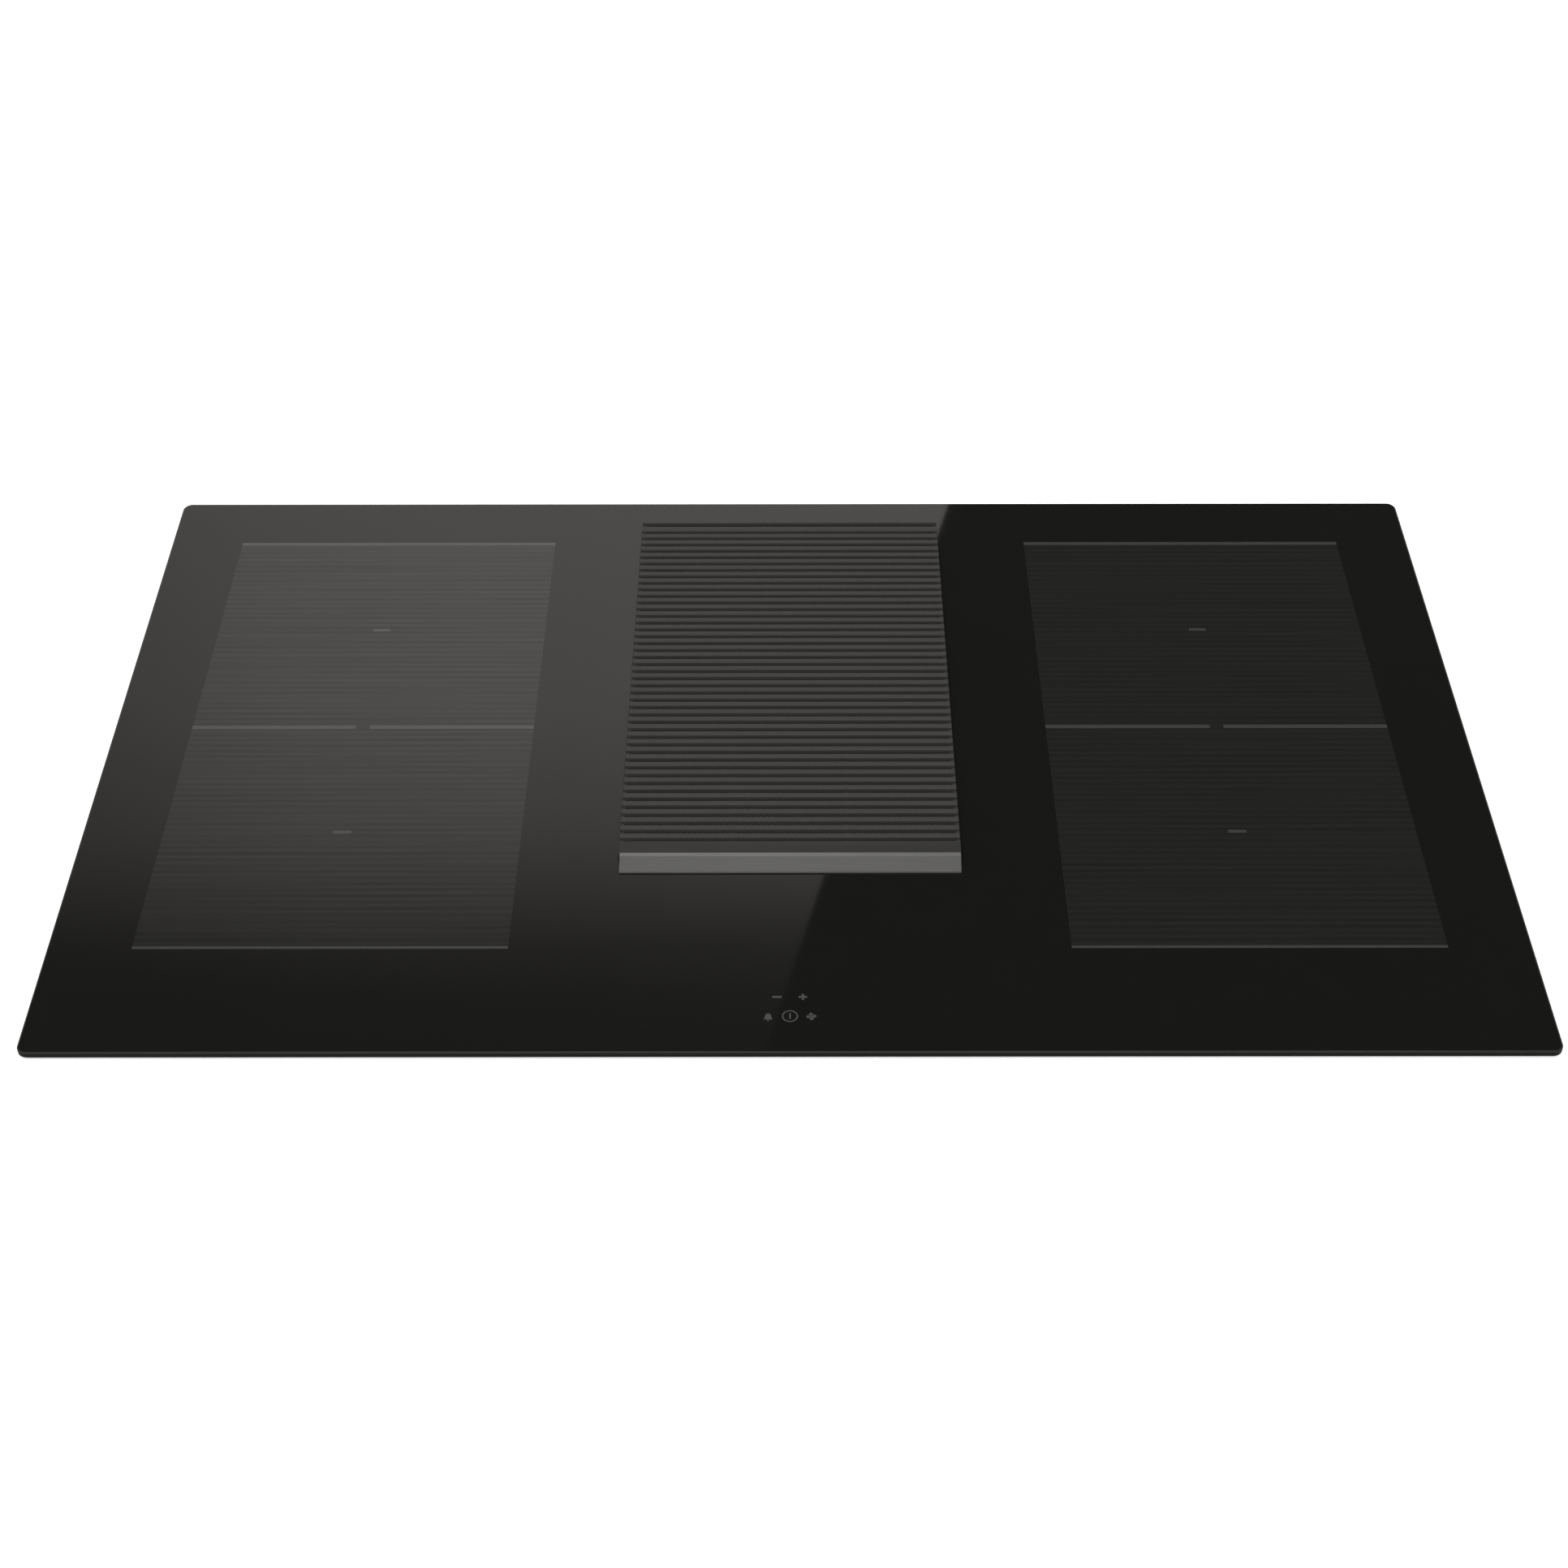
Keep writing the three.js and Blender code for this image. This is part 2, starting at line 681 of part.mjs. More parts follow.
function steelBox(side) {
  const area = boxArea(side);
  const inside = grow(area, -boxWall);
  const shell = openBox(area, boxWall, boxWall, boxBottom, underGlass);
  const flange = frame(grow(area, -boxFlange), boxFlange, underGlass - boxWall, underGlass);
  const postTop = deckBottom - seat;
  const posts = cornersOf(grow(inside, -boxPost / 2)).map(([x, y]) => {
    const post = grow(rectangle(x, x, y, y), boxPost / 2 + boxWall / 2);
    return block(post, boxBottom, postTop);
  });
  const standoffs = cornersOf(grow(boardArea(side), -standoffRadius)).map((spot) =>
    rodAt(spot, standoffRadius, boxBottom, boardBottom - seat),
  );
  const nuts = clampSpots(side).map((spot) => rodAt(spot, nutRadius, boxBottom, boxFloor + nutHeight));
  const screwHoles = clampSpots(side).map((spot) =>
    rodAt(spot, screwRadius + slip, boxBottom - 1, boxFloor + nutHeight + 1),
  );
  return cut(
    join(shell, flange, ...posts, ...standoffs, ...nuts),
    ...screwHoles,
    ...fanVents(side),
  );
}

const coilSpots = (side) => [
  ["front", [side * coilX, coilFrontY]],
  ["rear", [side * coilX, coilRearY]],
];

const coilDeck = (side) =>
  block(grow(boxArea(side), -boxWall - deckClearance), deckBottom, deckTop);

function insulationSheet(side) {
  const area = grow(boxArea(side), -boxFlange - slip);
  const holes = coilSpots(side).map(([, spot]) =>
    rodAt(spot, sensorRadius + slip, insulationBottom - 1, underGlass + 1, 20),
  );
  return cut(block(area, insulationBottom, underGlass), ...holes);
}

function coilCarrier() {
  const bottom = carrierTop - carrierHeight;
  const half = carrierBarWidth / 2;
  const bar = block(
    rectangle(carrierHubRadius - 2, coilOuterRadius - 1, -half, half),
    bottom,
    carrierTop,
  );
  const hub = disc(carrierHubRadius, bottom, carrierTop, 16);
  const rimInner = coilOuterRadius - carrierRingWidth;
  const rim = tube(rimInner, coilOuterRadius, carrierTop - carrierRingHeight, carrierTop, 28);
  const bore = disc(carrierBore, bottom - 1, carrierTop + 1, 16);
  return cut(join(hub, rim, ...around(carrierBars, bar)), bore);
}

const inductionCoil = () =>
  turned(
    [
      [coilInnerRadius, coilTop - coilEdge],
      [coilInnerRadius + coilEdge, coilTop],
      [coilOuterRadius - coilEdge, coilTop],
      [coilOuterRadius, coilTop - coilEdge],
      [coilOuterRadius, coilTop - coilThickness],
      [coilInnerRadius, coilTop - coilThickness],
      [coilInnerRadius, coilTop - coilEdge],
    ],
    30,
  );

function heatSensor() {
  const collarBottom = carrierTop + seat;
  const collarTop = collarBottom + sensorCollarHeight;
  return turned(
    [
      [0, underGlass],
      [sensorRadius, underGlass],
      [sensorRadius, collarTop],
      [sensorCollarRadius, collarTop],
      [sensorCollarRadius, collarBottom],
      [sensorRadius, collarBottom],
      [sensorRadius, carrierTop - sensorDepth],
      [0, carrierTop - sensorDepth],
    ],
    20,
  );
}

function coilStation(side, [place, [x, y]]) {
  const tag = `${place}_${sideName(side)}`;
  return group(
    [
      piece(`coil_carrier_${tag}`, coilCarrier(), ferrite),
      piece(`induction_coil_${tag}`, inductionCoil(), copper),
      piece(`heat_sensor_${tag}`, heatSensor(), palePlastic),
    ],
    [x, y, 0],
  );
}

// ---- Power electronics ------------------------------------------------------------------------------
function powerBoard(side) {
  const area = boardArea(side);
  const middle = (area.x0 + area.x1) / 2;
  const capacitors = [0, 1, 2].map((i) =>
    rodAt(
      [middle + (i - 1) * 3 * capacitorRadius, (area.y0 + area.y1) / 2],
      capacitorRadius,
      boardBottom,
      boardTop + capacitorHeight,
      16,
    ),
  );
  const chokes = [-1, 1].map((i) =>
    rodAt(
      [middle + i * 1.5 * chokeRadius, area.y1 - 3 * chokeRadius],
      chokeRadius,
      boardBottom,
      boardTop + chokeHeight,
      16,
    ),
  );
  return join(block(area, boardBottom, boardTop), ...capacitors, ...chokes);
}

function heatSink(side) {
  const area = boardArea(side);
  const middle = (area.x0 + area.x1) / 2;
  const front = fanY + sinkFromFan - sinkWidth / 2;
  const bottom = boardTop + seat;
  const pitch = (sinkWidth - finThickness) / (sinkFins - 1);
  const comb = [[front, bottom], [front + sinkWidth, bottom]];
  for (let i = sinkFins - 1; i >= 0; i -= 1) {
    const fin = front + i * pitch;
    comb.push([fin + finThickness, i === sinkFins - 1 ? bottom + sinkHeight : bottom + sinkBase]);
    if (i < sinkFins - 1) comb.push([fin + finThickness, bottom + sinkHeight]);
    comb.push([fin, bottom + sinkHeight]);
    if (i > 0) comb.push([fin, bottom + sinkBase]);
  }
  return alongX(comb, middle - sinkLength / 2, middle + sinkLength / 2);
}

// The cooling fan's pieces are drawn about its own axis, with z = 0 at the underside of its frame.
function fanFrame() {
  const half = fanSize / 2;
  const body = block(rectangle(-half, half, -half, half), 0, fanHeight);
  const bore = disc(fanBore, -1, fanHeight + 1, 28);
  const spoke = block(
    rectangle(0, fanBore + 1, -fanSpokeWidth / 2, fanSpokeWidth / 2),
    0,
    fanFloor,
  );
  const hub = disc(fanHubRadius, 0, fanFloor, 16);
  const bearing = disc(fanSpindle + slip, -1, fanFloor + 1, 12);
  return cut(join(cut(body, bore), hub, ...around(4, spoke)), bearing);
}

function fanRotor() {
  const bottom = fanFloor + seat;
  const hubTop = fanHeight - 2 * seat;
  const hub = disc(fanHubRadius, bottom, hubTop, 20);
  const spindle = disc(fanSpindle, 0, bottom + 1, 12);
  const halfSpan = (fanBladeChord / 2) * Math.cos(fanBladeTilt) + fanBladeThickness;
  const tip = Math.sqrt((fanBore - fanBladeGap) ** 2 - halfSpan ** 2);
  const root = fanHubRadius / 2;
  const plate = new THREE.BoxGeometry(tip - root, fanBladeChord, fanBladeThickness);
  plate.rotateX(fanBladeTilt);
  plate.translate((tip + root) / 2, 0, (bottom + hubTop) / 2);
  return join(hub, spindle, ...around(fanBlades, solid(plate)));
}

function coolingFan(side) {
  return group(
    [
      piece(`cooling_fan_frame_${sideName(side)}`, fanFrame(), casePlastic),
      piece(`cooling_fan_rotor_${sideName(side)}`, fanRotor(), casePlastic),
    ],
    [side * fanX, fanY, boxFloor + seat],
  );
}

function heaterModule(side) {
  const tag = sideName(side);
  return group([
    piece(`steel_box_${tag}`, steelBox(side), galvanised),
    piece(`coil_deck_${tag}`, coilDeck(side), aluminium),
    piece(`insulation_sheet_${tag}`, insulationSheet(side), mica),
    piece(`power_board_${tag}`, powerBoard(side), boardGreen),
    piece(`heat_sink_${tag}`, heatSink(side), aluminium),
    coolingFan(side),
    ...coilSpots(side).map((spot) => coilStation(side, spot)),
  ]);
}

// ---- Touch controls ---------------------------------------------------------------------------------
const touchKeySpots = [
  ...touchUpperKeys.map((x) => [x, glassFront + touchUpperRow]),
  ...touchLowerKeys.map((x) => [x, glassFront + touchLowerRow]),
];
const touchBoardTop = underGlass - touchKeyHeight;
const touchBoardBottom = touchBoardTop - touchBoardThickness;
const touchTrayArea = rectangle(
  -boxInnerX + seat,
  boxInnerX - seat,
  -boxOuterY,
  shaftFlangeArea.y0 - touchTrayGap,
);
const touchBoardFront = -boxOuterY + touchTrayWall + slip;
const touchBoardArea = rectangle(
  -touchBoardLength / 2,
  touchBoardLength / 2,
  touchBoardFront,
  touchBoardFront + touchBoardWidth,
);

function touchTray() {
  const bottom = underGlass - touchTrayDepth;
  const posts = cornersOf(grow(touchBoardArea, -touchPostRadius)).map((spot) =>
    rodAt(spot, touchPostRadius, bottom, touchBoardBottom - seat),
  );
  return join(
    openBox(touchTrayArea, touchTrayWall, touchTrayWall, bottom, underGlass),
    ...posts,
  );
}

const touchBoard = () =>
  join(
    block(touchBoardArea, touchBoardBottom, touchBoardTop),
    ...touchKeySpots.map((spot) => rodAt(spot, touchKeyRadius, touchBoardBottom, underGlass, 16)),
  );

// ---- Extractor case ---------------------------------------------------------------------------------
function extractorCover() {
  const shaftHole = grow(shaftArea, shaftWall + slip);
  return cut(
    block(caseArea, coverBottom, coverTop),
    block(shaftHole, coverBottom - 1, coverTop + 1),
  );
}

function extractorCase() {
  const ductHole = block(
    rectangle(
      outletX - ductWidth / 2 - scrollWall - slip,
      outletX + ductWidth / 2 + scrollWall + slip,
      caseRear - 2 * caseWall,
      caseRear + 1,
    ),
    ductBottom - scrollWall - slip,
    ductTop + scrollWall + slip,
  );
  const rails = [-railOffset, railOffset].map((x) =>
    block(
      rectangle(x - railWidth / 2, x + railWidth / 2, trayArea.y0, trayArea.y1),
      caseBottom,
      caseFloor + railHeight,
    ),
  );
  return join(
    cut(openBox(caseArea, caseWall, caseWall, caseBottom, caseTop), ductHole),
    ...rails,
  );
}

// ---- Blower, drawn about its own axis ---------------------------------------------------------------
// The scroll's inside grows outwards by `wall` for its outside.
function scrollOutline(wall, outletEnd) {
  const points = [];
  const turn = 360 - scrollTongueAngle;
  const steps = 26;
  for (let i = 0; i <= steps; i += 1) {
    const angle = THREE.MathUtils.degToRad(scrollTongueAngle + (turn * i) / steps);
    const growth = (scrollOutletRadius - scrollTongueRadius) * (i / steps);
    const radius = scrollTongueRadius + growth + wall;
    points.push([radius * Math.cos(angle), radius * Math.sin(angle)]);
  }
  const outletInner = scrollOutletRadius - scrollOutletWidth - wall;
  points.push([scrollOutletRadius + wall, outletEnd]);
  points.push([outletInner, outletEnd]);
  points.push([outletInner, scrollTongueRadius + wall]);
  return outline(points);
}

function blowerScroll() {
  const bottom = ductBottom - scrollWall;
  const top = ductTop - seat;
  const shell = cut(
    slab(scrollOutline(scrollWall, scrollOutletEnd), bottom, top),
    slab(scrollOutline(0, scrollOutletEnd + 1), ductBottom, top + 1),
  );
  const feet = [-1, 1].flatMap((x) =>
    [-1, 1].map((y) =>
      rodAt(
        [x * scrollFootOffset, y * scrollFootOffset],
        scrollFootRadius,
        caseFloor + seat,
        bottom + scrollWall / 2,
      ),
    ),
  );
  return join(shell, ...feet);
}

function blowerLid() {
  const lid = slab(scrollOutline(scrollWall, scrollOutletEnd), ductTop, ductTop + scrollWall);
  const bell = tube(
    inletRadius,
    inletRadius + inletWall,
    ductTop + scrollWall / 2,
    ductTop + scrollWall + inletHeight,
    40,
  );
  const inlet = disc(inletRadius, ductTop - 1, ductTop + scrollWall + inletHeight + 1, 40);
  return cut(join(lid, bell), inlet);
}

const motorBottom = ductBottom + seat;
const motorTop = motorBottom + motorHeight;
const impellerBottom = ductBottom + impellerFloorGap;
const impellerTop = ductTop - impellerTopGap;

function blowerMotor() {
  return turned(
    [
      [0, motorTop + shaftLength],
      [shaftRadius, motorTop + shaftLength],
      [shaftRadius, motorTop],
      [motorRadius - motorEdge, motorTop],
      [motorRadius, motorTop - motorEdge],
      [motorRadius, motorBottom],
      [0, motorBottom],
    ],
    36,
  );
}

function blowerImpeller() {
  const cupInner = motorRadius + motorGap;
  const cupOuter = cupInner + cupWall;
  const cupFloor = motorTop + motorGap;
  const hubBore = shaftRadius + slip;
  const cup = turned(
    [
      [hubBore, cupFloor + shaftLength - motorGap],
      [hubBore + bossWall, cupFloor + shaftLength - motorGap],
      [hubBore + bossWall, cupFloor + cupWall],
      [cupOuter, cupFloor + cupWall],
      [cupOuter, impellerBottom + impellerPlate],
      [impellerRadius, impellerBottom + impellerPlate],
      [impellerRadius, impellerBottom],
      [cupInner, impellerBottom],
      [cupInner, cupFloor],
      [hubBore, cupFloor],
      [hubBore, cupFloor + shaftLength - motorGap],
    ],
    40,
  );
  const ringBottom = impellerTop - impellerPlate;
  const ring = tube(impellerInner, impellerRadius, ringBottom, impellerTop, 40);
  const bladeBottom = impellerBottom + impellerPlate / 2;
  const bladeTop = impellerTop - impellerPlate / 2;
  const plate = new THREE.BoxGeometry(
    impellerBladeChord,
    impellerBladeThickness,
    bladeTop - bladeBottom,
  );
  plate.rotateZ(impellerBladeTilt);
  plate.translate((impellerRadius + impellerInner) / 2, 0, (bladeTop + bladeBottom) / 2);
  return join(cup, ring, ...around(impellerBlades, solid(plate)));
}

const blower = () =>
  group(
    [
      piece("blower_scroll", blowerScroll(), casePlastic),
      piece("blower_lid", blowerLid(), casePlastic),
      piece("blower_motor", blowerMotor(), brightSteel),
      piece("blower_impeller", blowerImpeller(), palePlastic),
    ],
    [blowerX, blowerY, 0],
  );

// ---- Outlet duct with its non-return flap -----------------------------------------------------------
function ductOutline(wall, start, end) {
  const startRight = blowerX + scrollOutletRadius;
  const startLeft = startRight - scrollOutletWidth;
  const half = ductWidth / 2;
  return outline([
    [startLeft - wall, start],
    [startRight + wall, start],
    [outletX + half + wall, outletSpreadEnd],
    [outletX + half + wall, end],
    [outletX - half - wall, end],
    [outletX - half - wall, outletSpreadEnd],
  ]);
}

const flapHingeZ = ductTop - flapHingeDrop;
const flapPinHalf = ductWidth / 2 + scrollWall - slip;
const acrossDuct = (radius, half, segments) => {
  const bar = disc(radius, -half, half, segments);
  return bar.rotate([0, 90, 0]).translate([outletX, flapHingeY, flapHingeZ]);
};

function outletDuct() {
  const shell = cut(
    slab(
      ductOutline(scrollWall, outletStart, outletEnd),
      ductBottom - scrollWall,
      ductTop + scrollWall,
    ),
    slab(ductOutline(0, outletStart - 1, outletEnd + 1), ductBottom, ductTop),
  );
  const half = ductWidth / 2;
  const collarY = caseRear + seat;
  const inside = rectangle(outletX - half, outletX + half, collarY, collarY + collarThickness);
  const outside = grow(inside, scrollWall + collarWidth);
  const collar = cut(
    block(
      rectangle(outside.x0, outside.x1, inside.y0, inside.y1),
      ductBottom - scrollWall - collarWidth,
      ductTop + scrollWall + collarWidth,
    ),
    block(
      rectangle(inside.x0 - 1, inside.x1 + 1, inside.y0 - 1, inside.y1 + 1),
      ductBottom - 1,
      ductTop + 1,
    ),
  );
  const stopRear = flapHingeY - flapThickness / 2 - seat;
  const stop = block(
    rectangle(outletX - half - 1, outletX + half + 1, stopRear - flapThickness, stopRear),
    ductBottom - 1,
    ductBottom + flapStopHeight,
  );
  return cut(join(shell, collar, stop), acrossDuct(flapPinRadius + slip, half + 4 * scrollWall, 12));
}

function nonReturnFlap() {
  const half = ductWidth / 2 - flapEdgeGap;
  const plate = block(
    rectangle(
      outletX - half,
      outletX + half,
      flapHingeY - flapThickness / 2,
      flapHingeY + flapThickness / 2,
    ),
    ductBottom + flapEdgeGap,
    flapHingeZ,
  );
  const sleeveRadius = flapPinRadius + slip + flapSleeveWall;
  return cut(
    join(plate, acrossDuct(sleeveRadius, half, 16)),
    acrossDuct(flapPinRadius + slip, half + 1, 12),
  );
}

const outlet = () =>
  group([
    piece("outlet_duct", outletDuct(), casePlastic),
    piece("non_return_flap", nonReturnFlap(), palePlastic),
    piece("flap_pin", acrossDuct(flapPinRadius, flapPinHalf, 12), brightSteel),
  ]);

// ---- Worktop clamps, drawn from the box's outer wall, with +X pointing outboard ----------------------
const clampLegTop = -worktopThickness - clampUpright + clampThickness;

function clampBracket() {
  const legBottom = clampLegTop - clampThickness;
  const lipTop = -worktopThickness;
  const upright = clampWallGap + clampThickness;
  const section = [
    [-clampFoot, legBottom],
    [upright, legBottom],
    [upright, lipTop - clampThickness],
    [upright + clampReach, lipTop - clampThickness],
    [upright + clampReach, lipTop],
    [clampWallGap, lipTop],
    [clampWallGap, clampLegTop],
    [-clampFoot, clampLegTop],
  ];
  const bracket = alongY(section, -clampWidth / 2, clampWidth / 2);
  const hole = rodAt([-clampScrewInset, 0], screwRadius + slip, legBottom - 1, clampLegTop + 1);
  return cut(bracket, hole);
}

function clampScrew() {
  const headTop = clampLegTop - clampThickness - seat;
  const head = disc(screwHeadRadius, headTop - screwHeadHeight, headTop, 6);
  const shank = disc(screwRadius, headTop - 1, headTop + screwLength, 12);
  return join(head, shank).translate([-clampScrewInset, 0, 0]);
}

function worktopClamp(side, place, y) {
  const tag = `${place}_${sideName(side)}`;
  const clamp = group(
    [
      piece(`worktop_clamp_${tag}`, clampBracket(), brightSteel),
      piece(`clamp_screw_${tag}`, clampScrew(), brightSteel),
    ],
    [side * boxOuterX, y, 0],
  );
  clamp.rotation.z = side < 0 ? Math.PI : 0;
  return clamp;
}

const worktopClamps = () =>
  [-1, 1].flatMap((side) =>
    clampYs.map((y, i) => worktopClamp(side, i === 0 ? "front" : "rear", y)),
  );

// ---- Mains terminals under the left box -------------------------------------------------------------
const terminalX = terminalFromOuterWall - boxOuterX;
const terminalRear = boxOuterY - terminalRearInset;
const terminalArea = rectangle(
  terminalX - terminalLength / 2,
  terminalX + terminalLength / 2,
  terminalRear - terminalDepth,
  terminalRear,
);
const terminalTop = boxBottom - seat;
const terminalBottom = terminalTop - terminalHeight;
const glandZ = (terminalTop + terminalBottom) / 2;

// A round solid along X through the housing's outer end wall.
const glandBar = (radius, x0, x1, segments) =>
  disc(radius, x0, x1, segments)
    .rotate([0, 90, 0])
    .translate([0, (terminalArea.y0 + terminalArea.y1) / 2, glandZ]);

function terminalHousing() {
  const shell = cut(
    block(terminalArea, terminalBottom, terminalTop),
    block(grow(terminalArea, -terminalWall), terminalBottom - 1, terminalTop - terminalWall),
  );
  const inletHole = glandBar(
    glandNeckRadius + slip,
    terminalArea.x0 - 1,
    terminalArea.x0 + terminalWall + 1,
    20,
  );
  return cut(shell, inletHole);
}

function terminalBlock() {
  const top = terminalTop - terminalWall - seat;
  const length = terminalPoles * poleWidth;
  const y = (terminalArea.y0 + terminalArea.y1) / 2;
  const x0 = terminalX - length / 2 + poleWidth / 2;
  const body = block(
    rectangle(x0, x0 + length, y - poleDepth / 2, y + poleDepth / 2),
    top - poleHeight,
    top,
  );
  const wells = Array.from({ length: terminalPoles }, (_, i) =>
    rodAt([x0 + (i + 0.5) * poleWidth, y], poleWidth / 4, top - poleHeight - 1, top - poleHeight / 2),
  );
  return cut(body, ...wells);
}

const terminalCover = () =>
  block(terminalArea, terminalBottom - seat - terminalCoverThickness, terminalBottom - seat);

function cableGland() {
  const wallX = terminalArea.x0;
  const nut = glandBar(glandRadius, wallX - glandLength - seat, wallX - seat, 6);
  const neck = glandBar(glandNeckRadius, wallX - glandLength / 2, wallX + 2 * terminalWall, 20);
  const bore = glandBar(glandBore, wallX - glandLength - 1, wallX + 2 * terminalWall + 1, 20);
  return cut(join(nut, neck), bore);
}

const terminals = () =>
  group([
    piece("terminal_housing", terminalHousing(), casePlastic),
    piece("terminal_block", terminalBlock(), palePlastic),
    piece("terminal_cover", terminalCover(), casePlastic),
    piece("cable_gland", cableGland(), casePlastic),
  ]);

// ---- The whole cooktop ------------------------------------------------------------------------------
const grille = group([
  piece("grille_slats", grilleSlats(), mattBlack),
  piece("grille_front_bar", grilleBar(), darkSteel),
  piece("grille_pad", grillePad(), silicone),
]);

const greaseFilter = group([
  piece("filter_cassette", filterCassette(), brightSteel),
  piece("filter_mesh", filterMesh(), aluminium),
  piece("filter_handle", filterHandle(), casePlastic),
]);

const cooktop = group([
  piece("glass_plate", glassPlate(), blackGlass, [0, 0, glassBottom]),
  piece("worktop_gasket", worktopGasket(), foam),
  piece("opening_trim", openingTrim(), silicone),
  grille,
  piece("intake_shaft", intakeShaft(), casePlastic),
  greaseFilter,
  piece("drip_tray", dripTray(), casePlastic),
  heaterModule(-1),
  heaterModule(1),
  piece("touch_tray", touchTray(), casePlastic),
  piece("touch_board", touchBoard(), boardGreen),
  piece("extractor_cover", extractorCover(), casePlastic),
  piece("extractor_case", extractorCase(), casePlastic),
  blower(),
  outlet(),
  ...worktopClamps(),
  terminals(),
]);

export default cooktop;
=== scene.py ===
import json
import math

import bmesh
import bpy
from mathutils import Matrix, Vector


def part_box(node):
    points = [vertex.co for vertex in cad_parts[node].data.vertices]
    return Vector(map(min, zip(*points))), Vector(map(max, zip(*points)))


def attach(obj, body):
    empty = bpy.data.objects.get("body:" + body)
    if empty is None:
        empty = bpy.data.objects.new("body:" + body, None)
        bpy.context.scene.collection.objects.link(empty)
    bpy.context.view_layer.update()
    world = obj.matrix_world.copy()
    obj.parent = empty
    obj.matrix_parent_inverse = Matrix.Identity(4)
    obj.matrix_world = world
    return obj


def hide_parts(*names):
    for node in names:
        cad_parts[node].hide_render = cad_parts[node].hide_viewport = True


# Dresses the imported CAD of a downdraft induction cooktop. Sizes are written in millimetres and
# become metres in the mesh and node helpers; the bodies, nodes and joints are those of the frame.

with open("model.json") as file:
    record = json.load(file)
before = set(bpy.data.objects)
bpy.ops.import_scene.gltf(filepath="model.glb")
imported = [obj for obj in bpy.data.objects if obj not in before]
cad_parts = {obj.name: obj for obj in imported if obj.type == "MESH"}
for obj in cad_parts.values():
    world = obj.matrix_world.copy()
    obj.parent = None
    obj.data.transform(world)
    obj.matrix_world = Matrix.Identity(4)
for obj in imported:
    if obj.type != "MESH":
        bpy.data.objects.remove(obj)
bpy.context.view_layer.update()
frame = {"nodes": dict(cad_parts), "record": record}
nodes = frame["nodes"]
slot_of = {part["node"]: part["material_slot"] for part in frame["record"]["subparts"]}

MM = 0.001

# ---- Sizes in millimetres -------------------------------------------------------------------------


def extent(node):
    """The node's box at rest, as x0, x1, y0, y1, z0, z1."""
    low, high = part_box(node)
    return [v / MM for v in (low[0], high[0], low[1], high[1], low[2], high[2])]


# The glass and the worktop's cut-out
glass_x0, glass_x1, glass_y0, glass_y1, glass_bottom, glass_top = extent("glass_plate")
glass_radius = 6
glass_chamfer = 0.5
glass_arris = [(0, 0.75), (-0.1, 0.65), (-0.75, 0.08), (-0.9, 0)]  # (outwards, down)
opening_x0, opening_x1, opening_y0, opening_y1 = -92, 92, -96.7, 220.4
opening_radius = 5
cutout_half_width, cutout_half_depth = 403.5, 246

# The prints on the glass; a line is (its middle, its width)
zone_inner, zone_centre, zone_outer = 157.4, 262.7, 367.6
zone_front, zone_middle, zone_rear = -177.3, 16.7, 210.5
front_line = (zone_front + 0.1, 2.1)
middle_line = (zone_middle - 0.4, 3.3)
rear_line = (zone_rear - 0.8, 3.2)
middle_line_gap = 8.6  # round the zone's centre
zone_line_pitch = 5.15
coil_mark_length, coil_mark_width = 10.8, 2.5
coil_centre, coil_front, coil_rear = 264, -80.5, 114.5
print_level = glass_top + 0.02
print_thickness, tint_thickness = 0.05, 0.02

# The touch symbols
upper_row, lower_row = glass_y0 + 41.4, glass_y0 + 26.6
minus_x0, minus_x1, minus_width = -9.7, -4.5, 1.5
plus_x, bell_x, fan_x = 7.1, -11.9, 11.6
plus_shape = [(0.7, 2.3), (-0.7, 2.3), (-0.7, 0.7), (-2.3, 0.7), (-2.3, -0.7), (-0.7, -0.7),
              (-0.7, -2.3), (0.7, -2.3), (0.7, -0.7), (2.3, -0.7), (2.3, 0.7), (0.7, 0.7)]
bell_shape = [(-2.6, -2.3), (2.6, -2.3), (1.9, -1.2), (1.6, 0.9), (0.8, 2.2), (-0.8, 2.2),
              (-1.6, 0.9), (-1.9, -1.2)]
clapper_drop, dot_radius = 3.2, 0.55
power_radius, power_width, power_up = 4.4, 0.8, 0.2
power_stroke_width, power_stroke_length, power_stroke_up = 0.9, 4.4, 0.3
blade_count, blade_radius, blade_reach, blade_turn = 4, 1.1, 1.7, 0.12  # the turn in radians

# The intake grille and its bar
_, grille_x1, grille_y0, grille_y1, _, grille_top = extent("grille_slats")
grille_bottom = grille_top - 3.5
slat_end = grille_x1 - 0.6
slat_pitch, slot_width, slat_count = 7.186, 3.2, 44
slat_crown, slat_edge = 0.7, 0.2
slat_end_drop, slat_end_round = 0.45, 0.4
rear_slat_extra = 1.5
groove_depth = 2.3
grille_rim, frame_radius, slot_radius = 3, 1.6, 0.8
rib_x, rib_half, rib_depth, rib_front_gap, rib_rear_gap = 34, 1.5, 2.6, 11.3, 11
lug_x0, lug_x1, lug_length, lug_bottom = 84, 88, 12, -3.5
bar_x0, bar_x1, bar_y0, bar_y1, bar_bottom, bar_top = extent("grille_front_bar")
bar_left, bar_right, bar_low = bar_x0 + 1.5, bar_x1 - 1, glass_top + 0.06
bar_ridge, bar_nose = 3.1, 1.2

